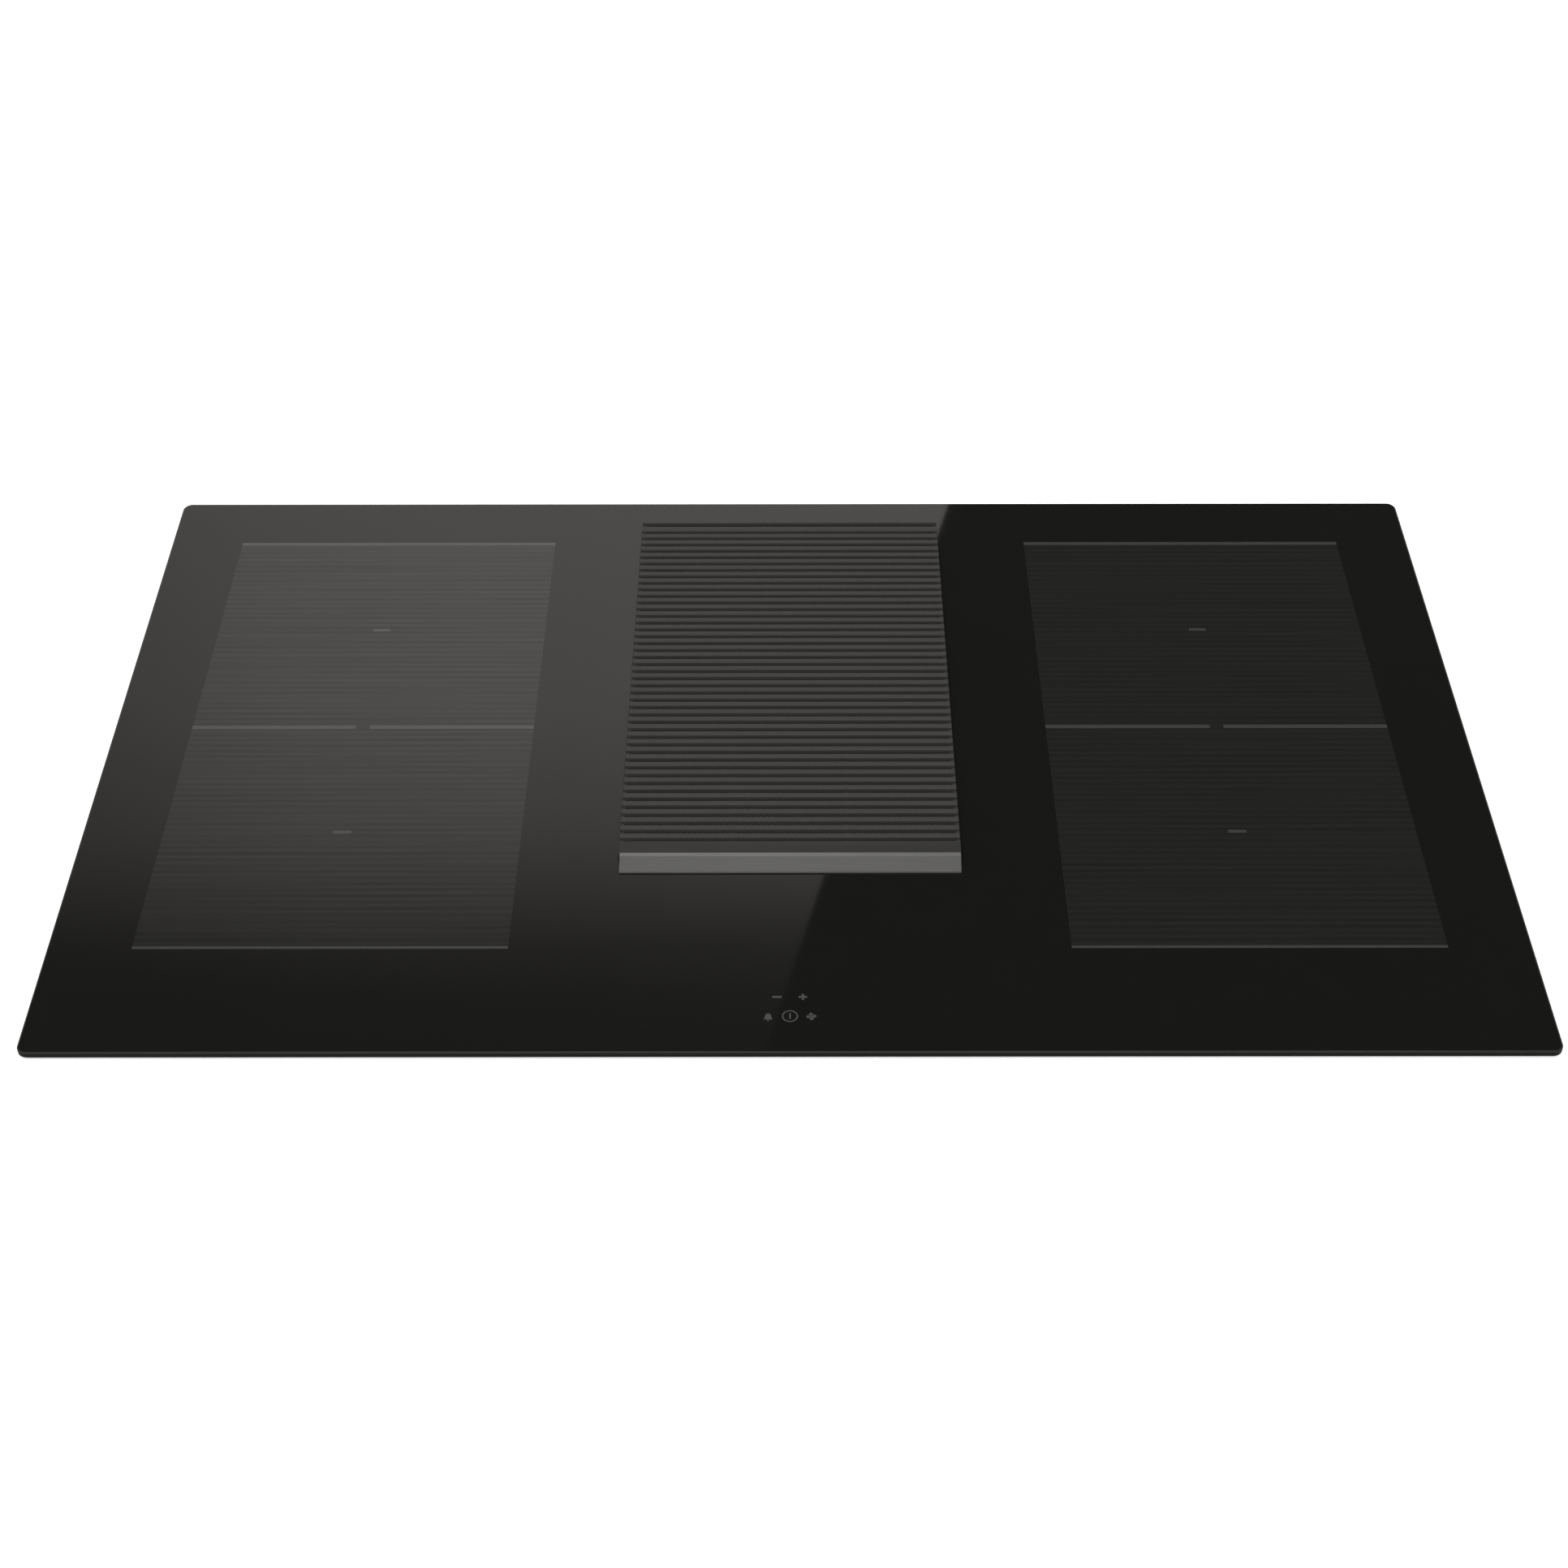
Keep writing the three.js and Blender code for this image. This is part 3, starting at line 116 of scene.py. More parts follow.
# The pressings, ribs and screws under the glass
bead_levels = (-12, -52)
louvre_bottom, louvre_top, louvre_height, louvre_radius, louvre_edge = -38, -26, 2.4, 2.5, 1.2
side_beads, side_louvres, side_louvre_half = (-176, 176), (-150, 150, 11), 10
end_beads, end_louvres, end_louvre_half = (140, 374), (175, 339, 7), 9
side_screws = [(-226, -56), (-184, -32), (184, -32), (226, -56)]
end_screws = [(127, -9), (127, -54), (387, -9), (387, -54)]
case_rim = [(-0.5, 6), (2, 6), (2.4, 5.6), (2.4, 1.1), (2, 0.7), (-0.5, 0.7)]  # (outwards, down)
tray_roll = [(-0.4, 2.6), (0.7, 2.5), (1, 2), (1, 0.8), (0.6, 0.2), (-0.2, 0), (-1.2, 0),
             (-1.4, 0.3), (-1.4, 2.6)]
shaft_wall = 2.5
shaft_rib_span, shaft_rib_bottom, shaft_rib_top, shaft_bead_level = 80, -60, -6, -33
flap_back, flap_rib_top = 162.75, -122
basket_half_width, basket_y0, basket_y1 = 82.5, -87.2, 210.9
basket_bead_levels = (-32, -56)

# ---- Mesh helpers ---------------------------------------------------------------------------------


def rounded(x0, x1, y0, y1, radius, steps):
    """The outline of a rectangle with round corners, anticlockwise."""
    corners = [
        (x1 - radius, y1 - radius, 0),
        (x0 + radius, y1 - radius, 90),
        (x0 + radius, y0 + radius, 180),
        (x1 - radius, y0 + radius, 270),
    ]
    points = []
    for cx, cy, start in corners:
        for i in range(steps + 1):
            a = math.radians(start + 90 * i / steps)
            points.append((cx + radius * math.cos(a), cy + radius * math.sin(a)))
    return points


def level(points, z):
    return [(x, y, z) for x, y in points]


def outlines(x0, x1, y0, y1, radius, steps, least=0):
    """Gives a function for the level outlines at a distance outside a round-cornered rectangle."""

    def outline(out, z):
        corner = max(radius + out, least)
        return level(rounded(x0 - out, x1 + out, y0 - out, y1 + out, corner, steps), z)

    return outline


def circle(cx, cy, radius, count):
    angles = [2 * math.pi * i / count for i in range(count)]
    return [(cx + radius * math.cos(a), cy + radius * math.sin(a)) for a in angles]


def spread(low, high, count):
    return [low + (high - low) * i / (count - 1) for i in range(count)]


def loft(bm, loops, ring=False):
    """Faces between loops with as many points each; the ends are capped, or joined as a ring."""
    rows = [[bm.verts.new(Vector(p) * MM) for p in loop] for loop in loops]
    pairs = list(zip(rows, rows[1:]))
    if ring:
        pairs.append((rows[-1], rows[0]))
    made = []
    for a, b in pairs:
        for i in range(len(a)):
            j = (i + 1) % len(a)
            made.append(bm.faces.new((a[i], a[j], b[j], b[i])))
    if not ring:
        made.append(bm.faces.new(rows[0]))
        made.append(bm.faces.new(rows[-1]))
    return made


def prism(bm, points, z0, z1):
    loft(bm, [level(points, z0), level(points, z1)])


def block(bm, x0, x1, y0, y1, z0, z1, edge):
    """A box with its upright and upper edges rounded off."""
    slight = edge * 0.3
    inner = rounded(x0 + slight, x1 - slight, y0 + slight, y1 - slight, edge, 3)
    outer = rounded(x0, x1, y0, y1, edge, 3)
    top = rounded(x0 + edge, x1 - edge, y0 + edge, y1 - edge, edge * 0.6, 3)
    return loft(bm, [level(inner, z0), level(outer, z0 + slight), level(outer, z1 - edge),
                     level(inner, z1 - slight), level(top, z1)])


def wall(axis, at, sign):
    """Maps (along, up, proud) to a wall of a box; on a floor they are (x, y, proud)."""
    if axis == "x":
        return lambda u, v, n: (at + sign * n, u, v)
    if axis == "y":
        return lambda u, v, n: (u, at + sign * n, v)
    return lambda u, v, n: (u, v, at + sign * n)


def raised(bm, place, u0, u1, v0, v1, height, radius, edge, hood=False):
    """A pad with rounded edges on a wall; a hood slopes into the wall at its top."""
    sink, hood_slope = 0.5, 1.15

    def ring(inset, n):
        loop = []
        for u, v in rounded(u0 + inset, u1 - inset, v0 + inset, v1 - inset, radius - inset, 3):
            share = min(1, hood_slope * (v1 - v) / (v1 - v0)) if hood and n > 0 else 1
            loop.append(place(u, v, n * share))
        return loop

    edge = min(edge, radius * 0.9)
    loft(bm, [ring(0, -sink), ring(0, height - edge), ring(edge * 0.3, height - edge * 0.3),
              ring(edge * 0.95, height)])


def bead(bm, place, u0, u1, v, width=7, height=1.4):
    """A long pressed bead with round ends, along u."""
    raised(bm, place, u0, u1, v - width / 2, v + width / 2, height, width / 2 - 0.02, height)


def ribs(bm, place, spots, half, v0, v1, height, radius=0.7, edge=0.5):
    """Upright ribs on a wall, at those places along it."""
    for u in spots:
        raised(bm, place, u - half, u + half, v0, v1, height, radius, edge)


def screw(bm, place, u, v, radius=3.4, head=2.2):
    """A pan-head screw with a cross recess."""
    count, arm_half_angle, arm_depth = 32, 0.3, 0.42

    def ring(scale, n, cross=False):
        loop = []
        for i in range(count):
            a = 2 * math.pi * i / count
            r = radius * scale
            from_arm = min(a % (math.pi / 2), math.pi / 2 - a % (math.pi / 2))
            if cross and from_arm >= arm_half_angle:
                r *= arm_depth
            loop.append(place(u + r * math.cos(a), v + r * math.sin(a), n))
        return loop

    loft(bm, [ring(1, -0.4), ring(1, head * 0.35), ring(0.93, head * 0.7),
              ring(0.72, head * 0.96), ring(0.52, head), ring(0.5, head, cross=True),
              ring(0.4, head * 0.3, cross=True)])


def piece(name, bm, body, materials, smooth=35, replaced=()):
    """Turns the mesh into a piece that rides on a body."""
    bmesh.ops.recalc_face_normals(bm, faces=bm.faces)
    mesh = bpy.data.meshes.new(name)
    bm.to_mesh(mesh)
    bm.free()
    mesh.shade_smooth()
    mesh.set_sharp_from_angle(angle=math.radians(smooth))
    for material in materials:
        mesh.materials.append(material)
    obj = bpy.data.objects.new(name, mesh)
    bpy.context.scene.collection.objects.link(obj)
    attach(obj, body)
    if replaced:
        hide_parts(*replaced)


# ---- Material helpers -----------------------------------------------------------------------------


class NodeTree:
    """Short calls that build a tree of shader nodes."""

    def __init__(self, tree):
        self.tree = tree

    def add(self, kind, **settings):
        made = self.tree.nodes.new(kind)
        for key, value in settings.items():
            setattr(made, key, value)
        return made

    def feed(self, socket, source):
        """Links a socket to another one, or sets its value."""
        if isinstance(source, bpy.types.NodeSocket):
            self.tree.links.new(source, socket)
        else:
            socket.default_value = source

    def axes(self, vector):
        """The x, y and z of a vector."""
        made = self.add("ShaderNodeSeparateXYZ")
        self.feed(made.inputs[0], vector)
        return made.outputs

    def ramp(self, factor, low, high, start=0.0, end=1.0):
        """Maps a factor between two numbers."""
        made = self.add("ShaderNodeMapRange")
        made.inputs["From Min"].default_value = start
        made.inputs["From Max"].default_value = end
        made.inputs["To Min"].default_value = low
        made.inputs["To Max"].default_value = high
        self.feed(made.inputs["Value"], factor)
        return made.outputs["Result"]

    def maths(self, operation, a, b=0.0):
        made = self.add("ShaderNodeMath", operation=operation)
        self.feed(made.inputs[0], a)
        self.feed(made.inputs[1], b)
        return made.outputs[0]

    def vector_maths(self, operation, a, b=(0, 0, 0), output="Vector"):
        made = self.add("ShaderNodeVectorMath", operation=operation)
        self.feed(made.inputs[0], a)
        self.feed(made.inputs[1], b)
        return made.outputs[output]

    def greys(self, source, low, high, stops):
        """Greys at places between low and high, as a linear ramp."""
        made = self.add("ShaderNodeValToRGB")
        bands = made.color_ramp.elements
        while len(bands) < len(stops):
            bands.new(0.5)
        for band, (place, grey) in zip(bands, stops):
            band.position = place
            band.color = (grey, grey, grey, 1)
        self.feed(made.inputs[0], self.ramp(source, 0, 1, low, high))
        return made.outputs[0]

    def seen_directly(self):
        """1 for camera, glossy and transmission rays."""
        rays = self.add("ShaderNodeLightPath").outputs
        seen = self.maths("MAXIMUM", rays["Is Camera Ray"], rays["Is Glossy Ray"])
        return self.maths("MAXIMUM", seen, rays["Is Transmission Ray"])


class Surface(NodeTree):
    """A procedural material on the object's own coordinates, in metres."""

    def __init__(self, name, colour, roughness, metallic=0.0, ior=1.5):
        self.material = bpy.data.materials.new(name)
        self.material.use_nodes = True
        super().__init__(self.material.node_tree)
        self.shader = self.tree.nodes["Principled BSDF"]
        self.shader.inputs["Base Color"].default_value = (*colour, 1)
        self.shader.inputs["Roughness"].default_value = roughness
        self.shader.inputs["Metallic"].default_value = metallic
        self.shader.inputs["IOR"].default_value = ior
        self.colour = colour
        self.place = self.add("ShaderNodeTexCoord").outputs["Object"]

    def noise(self, scale, detail, stretch=None, rough=0.5):
        made = self.add("ShaderNodeTexNoise")
        place = self.place
        if stretch:
            mapping = self.add("ShaderNodeMapping")
            self.feed(mapping.inputs["Vector"], self.place)
            self.feed(mapping.inputs["Scale"], stretch)
            place = mapping.outputs["Vector"]
        self.feed(made.inputs["Vector"], place)
        made.inputs["Scale"].default_value = scale
        made.inputs["Detail"].default_value = detail
        made.inputs["Roughness"].default_value = rough
        return made.outputs["Fac"]

    def cells(self, scale, output="Distance"):
        made = self.add("ShaderNodeTexVoronoi")
        self.feed(made.inputs["Vector"], self.place)
        made.inputs["Scale"].default_value = scale
        return made.outputs[output]

    def flakes(self, scale):
        """Two unrelated random numbers for each cell."""
        made = self.add("ShaderNodeSeparateColor")
        self.feed(made.inputs[0], self.cells(scale, "Color"))
        return made.outputs[0], made.outputs[1]

    def mixed(self, factor, a, b):
        made = self.add("ShaderNodeMix", data_type="RGBA")
        self.feed(made.inputs[0], factor)
        self.feed(made.inputs[6], a)
        self.feed(made.inputs[7], b)
        return made.outputs[2]

    def shade(self, by):
        return (*[min(1.0, c * by) for c in self.colour], 1)

    def vary_colour(self, factor, low, high):
        mixed = self.mixed(factor, self.shade(low), self.shade(high))
        self.feed(self.shader.inputs["Base Color"], mixed)

    def vary_roughness(self, factor, low, high):
        self.feed(self.shader.inputs["Roughness"], self.ramp(factor, low, high))

    def bump(self, height, distance):
        """Distance in millimetres."""
        made = self.add("ShaderNodeBump")
        made.inputs["Strength"].default_value = 1
        made.inputs["Distance"].default_value = distance * MM
        self.feed(made.inputs["Height"], height)
        self.feed(self.shader.inputs["Normal"], made.outputs["Normal"])


# ---- Materials ------------------------------------------------------------------------------------


def plastic(name, colour, roughness, grain, depth):
    """Moulded plastic: an even eroded grain, and slight clouds in colour and gloss."""
    made = Surface(name, colour, roughness)
    made.vary_colour(made.noise(14, 4), 0.88, 1.1)
    made.vary_roughness(made.noise(55, 5), roughness - 0.07, roughness + 0.07)
    made.bump(made.noise(grain, 2), depth)
    return made.material


def rolled_metal(name, colour, roughness, stretch):
    """Sheet or bar with fine lines along one axis, clouded by handling."""
    made = Surface(name, colour, roughness, metallic=1.0)
    lines = made.noise(1, 6, stretch=stretch, rough=0.65)
    made.vary_colour(made.ramp(lines, 0, 1, 0.3, 0.7), 0.86, 1.08)
    clouds = made.noise(22, 4)
    made.vary_roughness(made.maths("MULTIPLY", lines, clouds), roughness - 0.12, roughness + 0.3)
    made.bump(lines, 0.006)
    return made.material


def glass_material():
    made = Surface("polished black glass ceramic", (0.0069, 0.0069, 0.0058), 0.03)
    made.vary_colour(made.noise(40, 3), 0.94, 1.06)
    made.vary_roughness(made.noise(9, 4), 0.025, 0.04)
    return made.material


def ground_glass(name, grey):
    """An edge ground with a fine wheel: satin, with faint lines along it."""
    made = Surface(name, (grey, grey, grey * 0.97), 0.5)
    made.shader.inputs["Specular IOR Level"].default_value = 0.06
    made.vary_colour(made.noise(1, 4, stretch=(60, 60, 4000)), 0.85, 1.15)
    made.bump(made.noise(2600, 2), 0.004)
    return made.material


def zone_print():
    """Evenly spaced fine lines across the zone, printed a little unevenly along their length."""
    made = Surface("screen-printed zone", (0.0145, 0.0144, 0.0126), 0.05, ior=1.57)
    turn = made.maths("MULTIPLY", made.axes(made.place)[1], 2 * math.pi / (zone_line_pitch * MM))
    coverage = made.ramp(made.noise(1, 2, stretch=(11, 24, 1)), 0.15, 0.95, 0.35, 0.65)
    ripple = made.maths("MULTIPLY", made.maths("SINE", turn), coverage)
    streaks = made.noise(1, 2, stretch=(5, 300, 1))
    contrast = made.maths("ADD", made.ramp(ripple, 0.12, 0.88, -1, 1),
                          made.ramp(streaks, -0.35, 0.35, 0.2, 0.8))
    made.vary_colour(contrast, 0.8, 1.2)
    made.feed(made.shader.inputs["Specular IOR Level"], made.ramp(contrast, 0.425, 0.575))
    made.vary_roughness(contrast, 0.035, 0.065)
    return made.material


def line_print(name, grey):
    made = Surface(name, (grey, grey, grey * 0.97), 0.08, ior=1.62)
    made.vary_colour(made.noise(260, 3), 0.88, 1.12)
    made.vary_roughness(made.noise(400, 2), 0.06, 0.12)
    return made.material


def powder_coat(name, colour, roughness, gloss):
    """Fine orange peel and grain of a baked coating."""
    made = Surface(name, colour, roughness)
    made.shader.inputs["Specular IOR Level"].default_value = gloss
    made.vary_colour(made.noise(700, 4, rough=0.7), 0.86, 1.14)
    made.vary_roughness(made.noise(160, 3), roughness - 0.06, roughness + 0.06)
    peel = made.maths("ADD", made.noise(500, 2), made.maths("MULTIPLY", made.noise(1900, 2), 0.5))
    made.bump(peel, 0.035)
    return made.material


def bar_metal(name, grey):
    """Anodised bar, brushed along its length."""
    made = Surface(name, (grey, grey * 0.988, grey * 0.945), 0.45, metallic=0.2)
    made.shader.inputs["Specular IOR Level"].default_value = 0.3
    lines = made.noise(1, 5, stretch=(30, 2400, 2400), rough=0.6)
    made.vary_colour(made.ramp(lines, 0, 1, 0.32, 0.68), 0.9, 1.08)
    made.vary_roughness(lines, 0.36, 0.5)
    made.bump(lines, 0.008)
    return made.material


def galvanised():
    """Fine zinc spangle under the lines of rolling, with a soft sheen."""
    made = Surface("galvanised sheet", (0.47, 0.48, 0.49), 0.42, metallic=0.8)
    spangle, sheen = made.flakes(320)
    lines = made.noise(1, 5, stretch=(40, 40, 1500), rough=0.6)
    clouds = made.noise(11, 4)
    tone = made.maths("ADD", made.maths("MULTIPLY", spangle, 0.3),
                      made.maths("ADD", made.maths("MULTIPLY", lines, 0.3),
                                 made.maths("MULTIPLY", clouds, 0.4)))
    made.vary_colour(tone, 0.8, 1.16)
    made.vary_roughness(sheen, 0.36, 0.5)
    made.bump(made.cells(320), 0.006)
    return made.material


def winding(name, cx, cy, pitch=4):
    """Enamelled litz turns round one coil's axis."""
    made = Surface(name, (0.42, 0.17, 0.075), 0.38, metallic=0.7)
    place = made.axes(made.vector_maths("SUBTRACT", made.place, (cx * MM, cy * MM, 0)))
    flat = made.add("ShaderNodeCombineXYZ")
    made.feed(flat.inputs[0], place[0])
    made.feed(flat.inputs[1], place[1])
    from_axis = made.vector_maths("LENGTH", flat.outputs[0], output="Value")
    turn = made.maths("MULTIPLY", from_axis, 2 * math.pi / (pitch * MM))
    wave = made.ramp(made.maths("SINE", turn), 0, 1, -1, 1)
    # The turns are darker in the grooves between them, following the bump: painted shade.
    made.vary_colour(wave, 0.45, 1.15)
    made.bump(wave, 1.2)
    return made.material


def mica():
    made = Surface("pressed mica", (0.5, 0.43, 0.32), 0.75)
    tone, dullness = made.flakes(420)
    made.vary_colour(made.maths("MULTIPLY", tone, made.noise(60, 4)), 0.75, 1.25)
    made.vary_roughness(dullness, 0.55, 0.85)
    made.bump(made.cells(420), 0.03)
    return made.material


def circuit_board():
    """Solder resist over copper tracks, with tinned pads."""
    made = Surface("green circuit board", (0.02, 0.13, 0.05), 0.32)
    tracks = made.add("ShaderNodeTexBrick", offset=0.37, squash=1.0)
    made.feed(tracks.inputs["Vector"], made.place)
    tracks.inputs["Scale"].default_value = 70
    tracks.inputs["Mortar Size"].default_value = 0.035
    tracks.inputs["Color1"].default_value = (0.018, 0.11, 0.045, 1)
    tracks.inputs["Color2"].default_value = (0.03, 0.17, 0.07, 1)
    tracks.inputs["Mortar"].default_value = (0.06, 0.26, 0.12, 1)
    pads = made.maths("LESS_THAN", made.cells(330), 0.16)
    colour = made.mixed(pads, tracks.outputs["Color"], (0.6, 0.61, 0.6, 1))
    made.feed(made.shader.inputs["Base Color"], colour)
    made.vary_roughness(made.noise(80, 3), 0.25, 0.42)
    made.bump(tracks.outputs["Fac"], 0.03)
    return made.material


def foam():
    made = Surface("closed-cell foam tape", (0.045, 0.045, 0.045), 0.95)
    made.vary_colour(made.cells(1500), 0.6, 1.4)
    made.bump(made.cells(1500), 0.12)
    return made.material


def silicone():
    made = Surface("black silicone", (0.02, 0.02, 0.02), 0.55, ior=1.41)
    made.vary_colour(made.noise(90, 3), 0.8, 1.25)
    made.bump(made.noise(1400, 2), 0.015)
    return made.material


def mesh_metal(pitch=3.4):
    """Woven aluminium wire seen as a lattice of diamonds."""
    made = Surface("aluminium filter mesh", (0.66, 0.67, 0.68), 0.34, metallic=1.0)
    weave = []
    for sign in (1, -1):
        x, y, _ = made.axes(made.place)
        slant = made.maths("ADD", x, made.maths("MULTIPLY", y, sign))
        turn = made.maths("MULTIPLY", slant, 2 * math.pi / (pitch * MM))
        weave.append(made.maths("SINE", turn))
    height = made.maths("MAXIMUM", weave[0], weave[1])
    # The low parts between the wires are painted almost black: painted shade in the gaps of the
    # weave.
    made.vary_colour(made.ramp(height, 0, 1, -0.4, 0.9), 0.12, 1.0)
    made.vary_roughness(made.noise(60, 3), 0.28, 0.45)
    made.bump(made.ramp(height, 0, 1, -1, 1), 0.6)
    return made.material


finishes = {
    "black_glass": glass_material(),
    "foam": foam(),
    "silicone": silicone(),
    "matt_black": powder_coat("matt black coating", (0.0462, 0.0448, 0.0415), 0.42, 0.25),
    "dark_metal": bar_metal("anthracite brushed bar", 0.119),
    "bright_steel": rolled_metal("zinc-plated steel", (0.62, 0.62, 0.61), 0.3, (90, 90, 1800)),
    "galvanised_steel": galvanised(),
    "filter_aluminium": mesh_metal(),
    "aluminium": rolled_metal("mill aluminium", (0.66, 0.67, 0.68), 0.33, (1500, 40, 1500)),
    "mica": mica(),
    "ferrite": plastic("ferrite carrier", (0.05, 0.045, 0.04), 0.6, 700, 0.05),
    "circuit_board": circuit_board(),
    "fan_plastic": plastic("fan plastic", (0.03, 0.03, 0.031), 0.42, 1200, 0.02),
    "case_plastic": plastic("case plastic", (0.072, 0.074, 0.077), 0.5, 800, 0.06),
    "blower_plastic": plastic("blower plastic", (0.16, 0.165, 0.17), 0.48, 900, 0.05),
    "pale_plastic": plastic("pale plastic", (0.58, 0.57, 0.53), 0.45, 1000, 0.03),
}
edge_glass = ground_glass("ground glass edge", 0.006)
# Painted highlight: the arris takes a lighter copy of the dark ground edge, a bright line along the
# glass's edge.
arris_highlight_glass = ground_glass("ground glass arris with painted highlight", 0.032)
# Painted shade: a darker copy of the grille's matt black coating, so the flat strip reads darker than
# the lit slat tops.
strip_shade_coat = powder_coat("matt black strip in painted shade", (0.0355, 0.0349, 0.0324), 0.45, 0.2)
# Painted highlight: a lighter copy of the bar's anthracite metal for its top edge.
bar_highlight_metal = bar_metal("painted highlight on the bar's top edge", 0.19)
fine_line = line_print("printed line", 0.05)
symbol_print = line_print("printed symbol", 0.075)
zone_fill = zone_print()


def finish_of(node):
    """The finish of a CAD node; each coil's litz is wound round its own axis."""
    if slot_of[node] != "copper":
        return finishes[slot_of[node]]
    side = -1 if "left" in node else 1
    return winding(node + " litz", side * coil_centre, coil_front if "front" in node else coil_rear)


for name, obj in nodes.items():
    surface = finish_of(name)
    for entry in obj.material_slots:
        entry.material = surface
    if not obj.material_slots:
        obj.data.materials.append(surface)

# ---- Glass and prints -----------------------------------------------------------------------------


def glass_plate():
    bm = bmesh.new()
    outer = outlines(glass_x0, glass_x1, glass_y0, glass_y1, glass_radius, 8)
    inner = outlines(opening_x0, opening_x1, opening_y0, opening_y1, opening_radius, 8)
    stations = [
        inner(0, glass_bottom + glass_chamfer),
        inner(glass_chamfer, glass_bottom),
        outer(-glass_chamfer, glass_bottom),
        outer(0, glass_bottom + glass_chamfer),
        *[outer(out, glass_top - down) for out, down in glass_arris],
        inner(glass_chamfer, glass_top),
        inner(0, glass_top - glass_chamfer),
    ]
    faces = loft(bm, stations, ring=True)
    step = len(stations[0])
    edge_material, arris_highlight_material = 1, 2
    # The arris bands take the lighter copy, a painted highlight.
    for band, material in ((2, edge_material), (3, edge_material), (4, arris_highlight_material),
                           (5, arris_highlight_material)):
        for face in faces[band * step:(band + 1) * step]:
            face.material_index = material
    piece("ceramic_glass", bm, "hob", [finishes["black_glass"], edge_glass, arris_highlight_glass],
          smooth=25, replaced=["glass_plate"])


def flat_print(name, shapes, material, thickness=print_thickness):
    bm = bmesh.new()
    for points in shapes:
        prism(bm, points, print_level, print_level + thickness)
    piece(name, bm, "hob", [material])


def strip(x0, x1, y, width):
    return [(x0, y - width / 2), (x1, y - width / 2), (x1, y + width / 2), (x0, y + width / 2)]


def zone_prints(side, sign):
    """A tinted zone of two coils, with its lines and the marks of the coils' middles."""
    x0, x1 = sorted((sign * zone_inner, sign * zone_outer))
    centre = sign * zone_centre
    half_gap, half_mark = middle_line_gap / 2, coil_mark_length / 2
    tint = [(x0, zone_front), (x1, zone_front), (x1, zone_rear), (x0, zone_rear)]
    flat_print("zone_tint_" + side, [tint], zone_fill, tint_thickness)
    lines = [strip(x0, x1, *front_line), strip(x0, x1, *rear_line),
             strip(x0, centre - half_gap, *middle_line), strip(centre + half_gap, x1, *middle_line)]
    flat_print("zone_lines_" + side, lines, fine_line)
    marks = [strip(centre - half_mark, centre + half_mark, y, coil_mark_width)
             for y in (coil_front, coil_rear)]
    flat_print("coil_marks_" + side, marks, fine_line)


def touch_symbols():
    """Minus, plus, timer bell, power and fan, printed as the usual touch symbols."""
    bm = bmesh.new()
    low, high = print_level, print_level + print_thickness
    prism(bm, strip(minus_x0, minus_x1, upper_row, minus_width), low, high)
    prism(bm, [(plus_x + x, upper_row + y) for x, y in plus_shape], low, high)
    prism(bm, [(bell_x + x, lower_row + y) for x, y in bell_shape], low, high)
    prism(bm, circle(bell_x, lower_row - clapper_drop, dot_radius, 12), low, high)
    outside = circle(0, lower_row + power_up, power_radius, 40)
    inside = circle(0, lower_row + power_up, power_radius - power_width, 40)
    loft(bm, [level(outside, low), level(outside, high), level(inside, high), level(inside, low)],
         ring=True)
    prism(bm, strip(-power_stroke_width / 2, power_stroke_width / 2, lower_row + power_stroke_up,
                    power_stroke_length), low, high)
    for k in range(blade_count):
        a = 2 * math.pi / blade_count * k + blade_turn
        cx, cy = fan_x + blade_reach * math.cos(a), lower_row + blade_reach * math.sin(a)
        prism(bm, circle(cx, cy, blade_radius, 14), low, high)
    prism(bm, circle(fan_x, lower_row, dot_radius, 12), low, high)
    piece("touch_symbols", bm, "hob", [symbol_print])


glass_plate()
for side, sign in (("left", -1), ("right", 1)):
    zone_prints(side, sign)
touch_symbols()

# ---- Grille ---------------------------------------------------------------------------------------


def slat_outline(y0, y1):
    """A slat's cross-section, (y, z), with a crowned top."""
    half, steps = (y1 - y0) / 2, 12
    shoulder = grille_top - slat_crown
    foot = grille_bottom + slat_edge
    points = [(y0 + slat_edge, grille_bottom), (y1 - slat_edge, grille_bottom), (y1, foot)]
    for i in range(steps + 1):
        a = math.pi * i / steps
        points.append(((y0 + y1) / 2 + half * math.cos(a), shoulder + slat_crown * math.sin(a)))
    points.append((y0, foot))
    return points


def slat(bm, y0, y1):
    """A slat across the whole grille, its ends rounded off."""
    outline = slat_outline(y0, y1)
    middle, upper_part = (y0 + y1) / 2, grille_bottom + 1

    def across(x, inset):
        return [(x, y + (inset if y < middle else -inset) * 0.5, z - (inset if z > upper_part else 0))
                for y, z in outline]

    loft(bm, [across(-slat_end, slat_end_drop), across(-slat_end + slat_end_round, 0),
              across(slat_end - slat_end_round, 0), across(slat_end, slat_end_drop)])


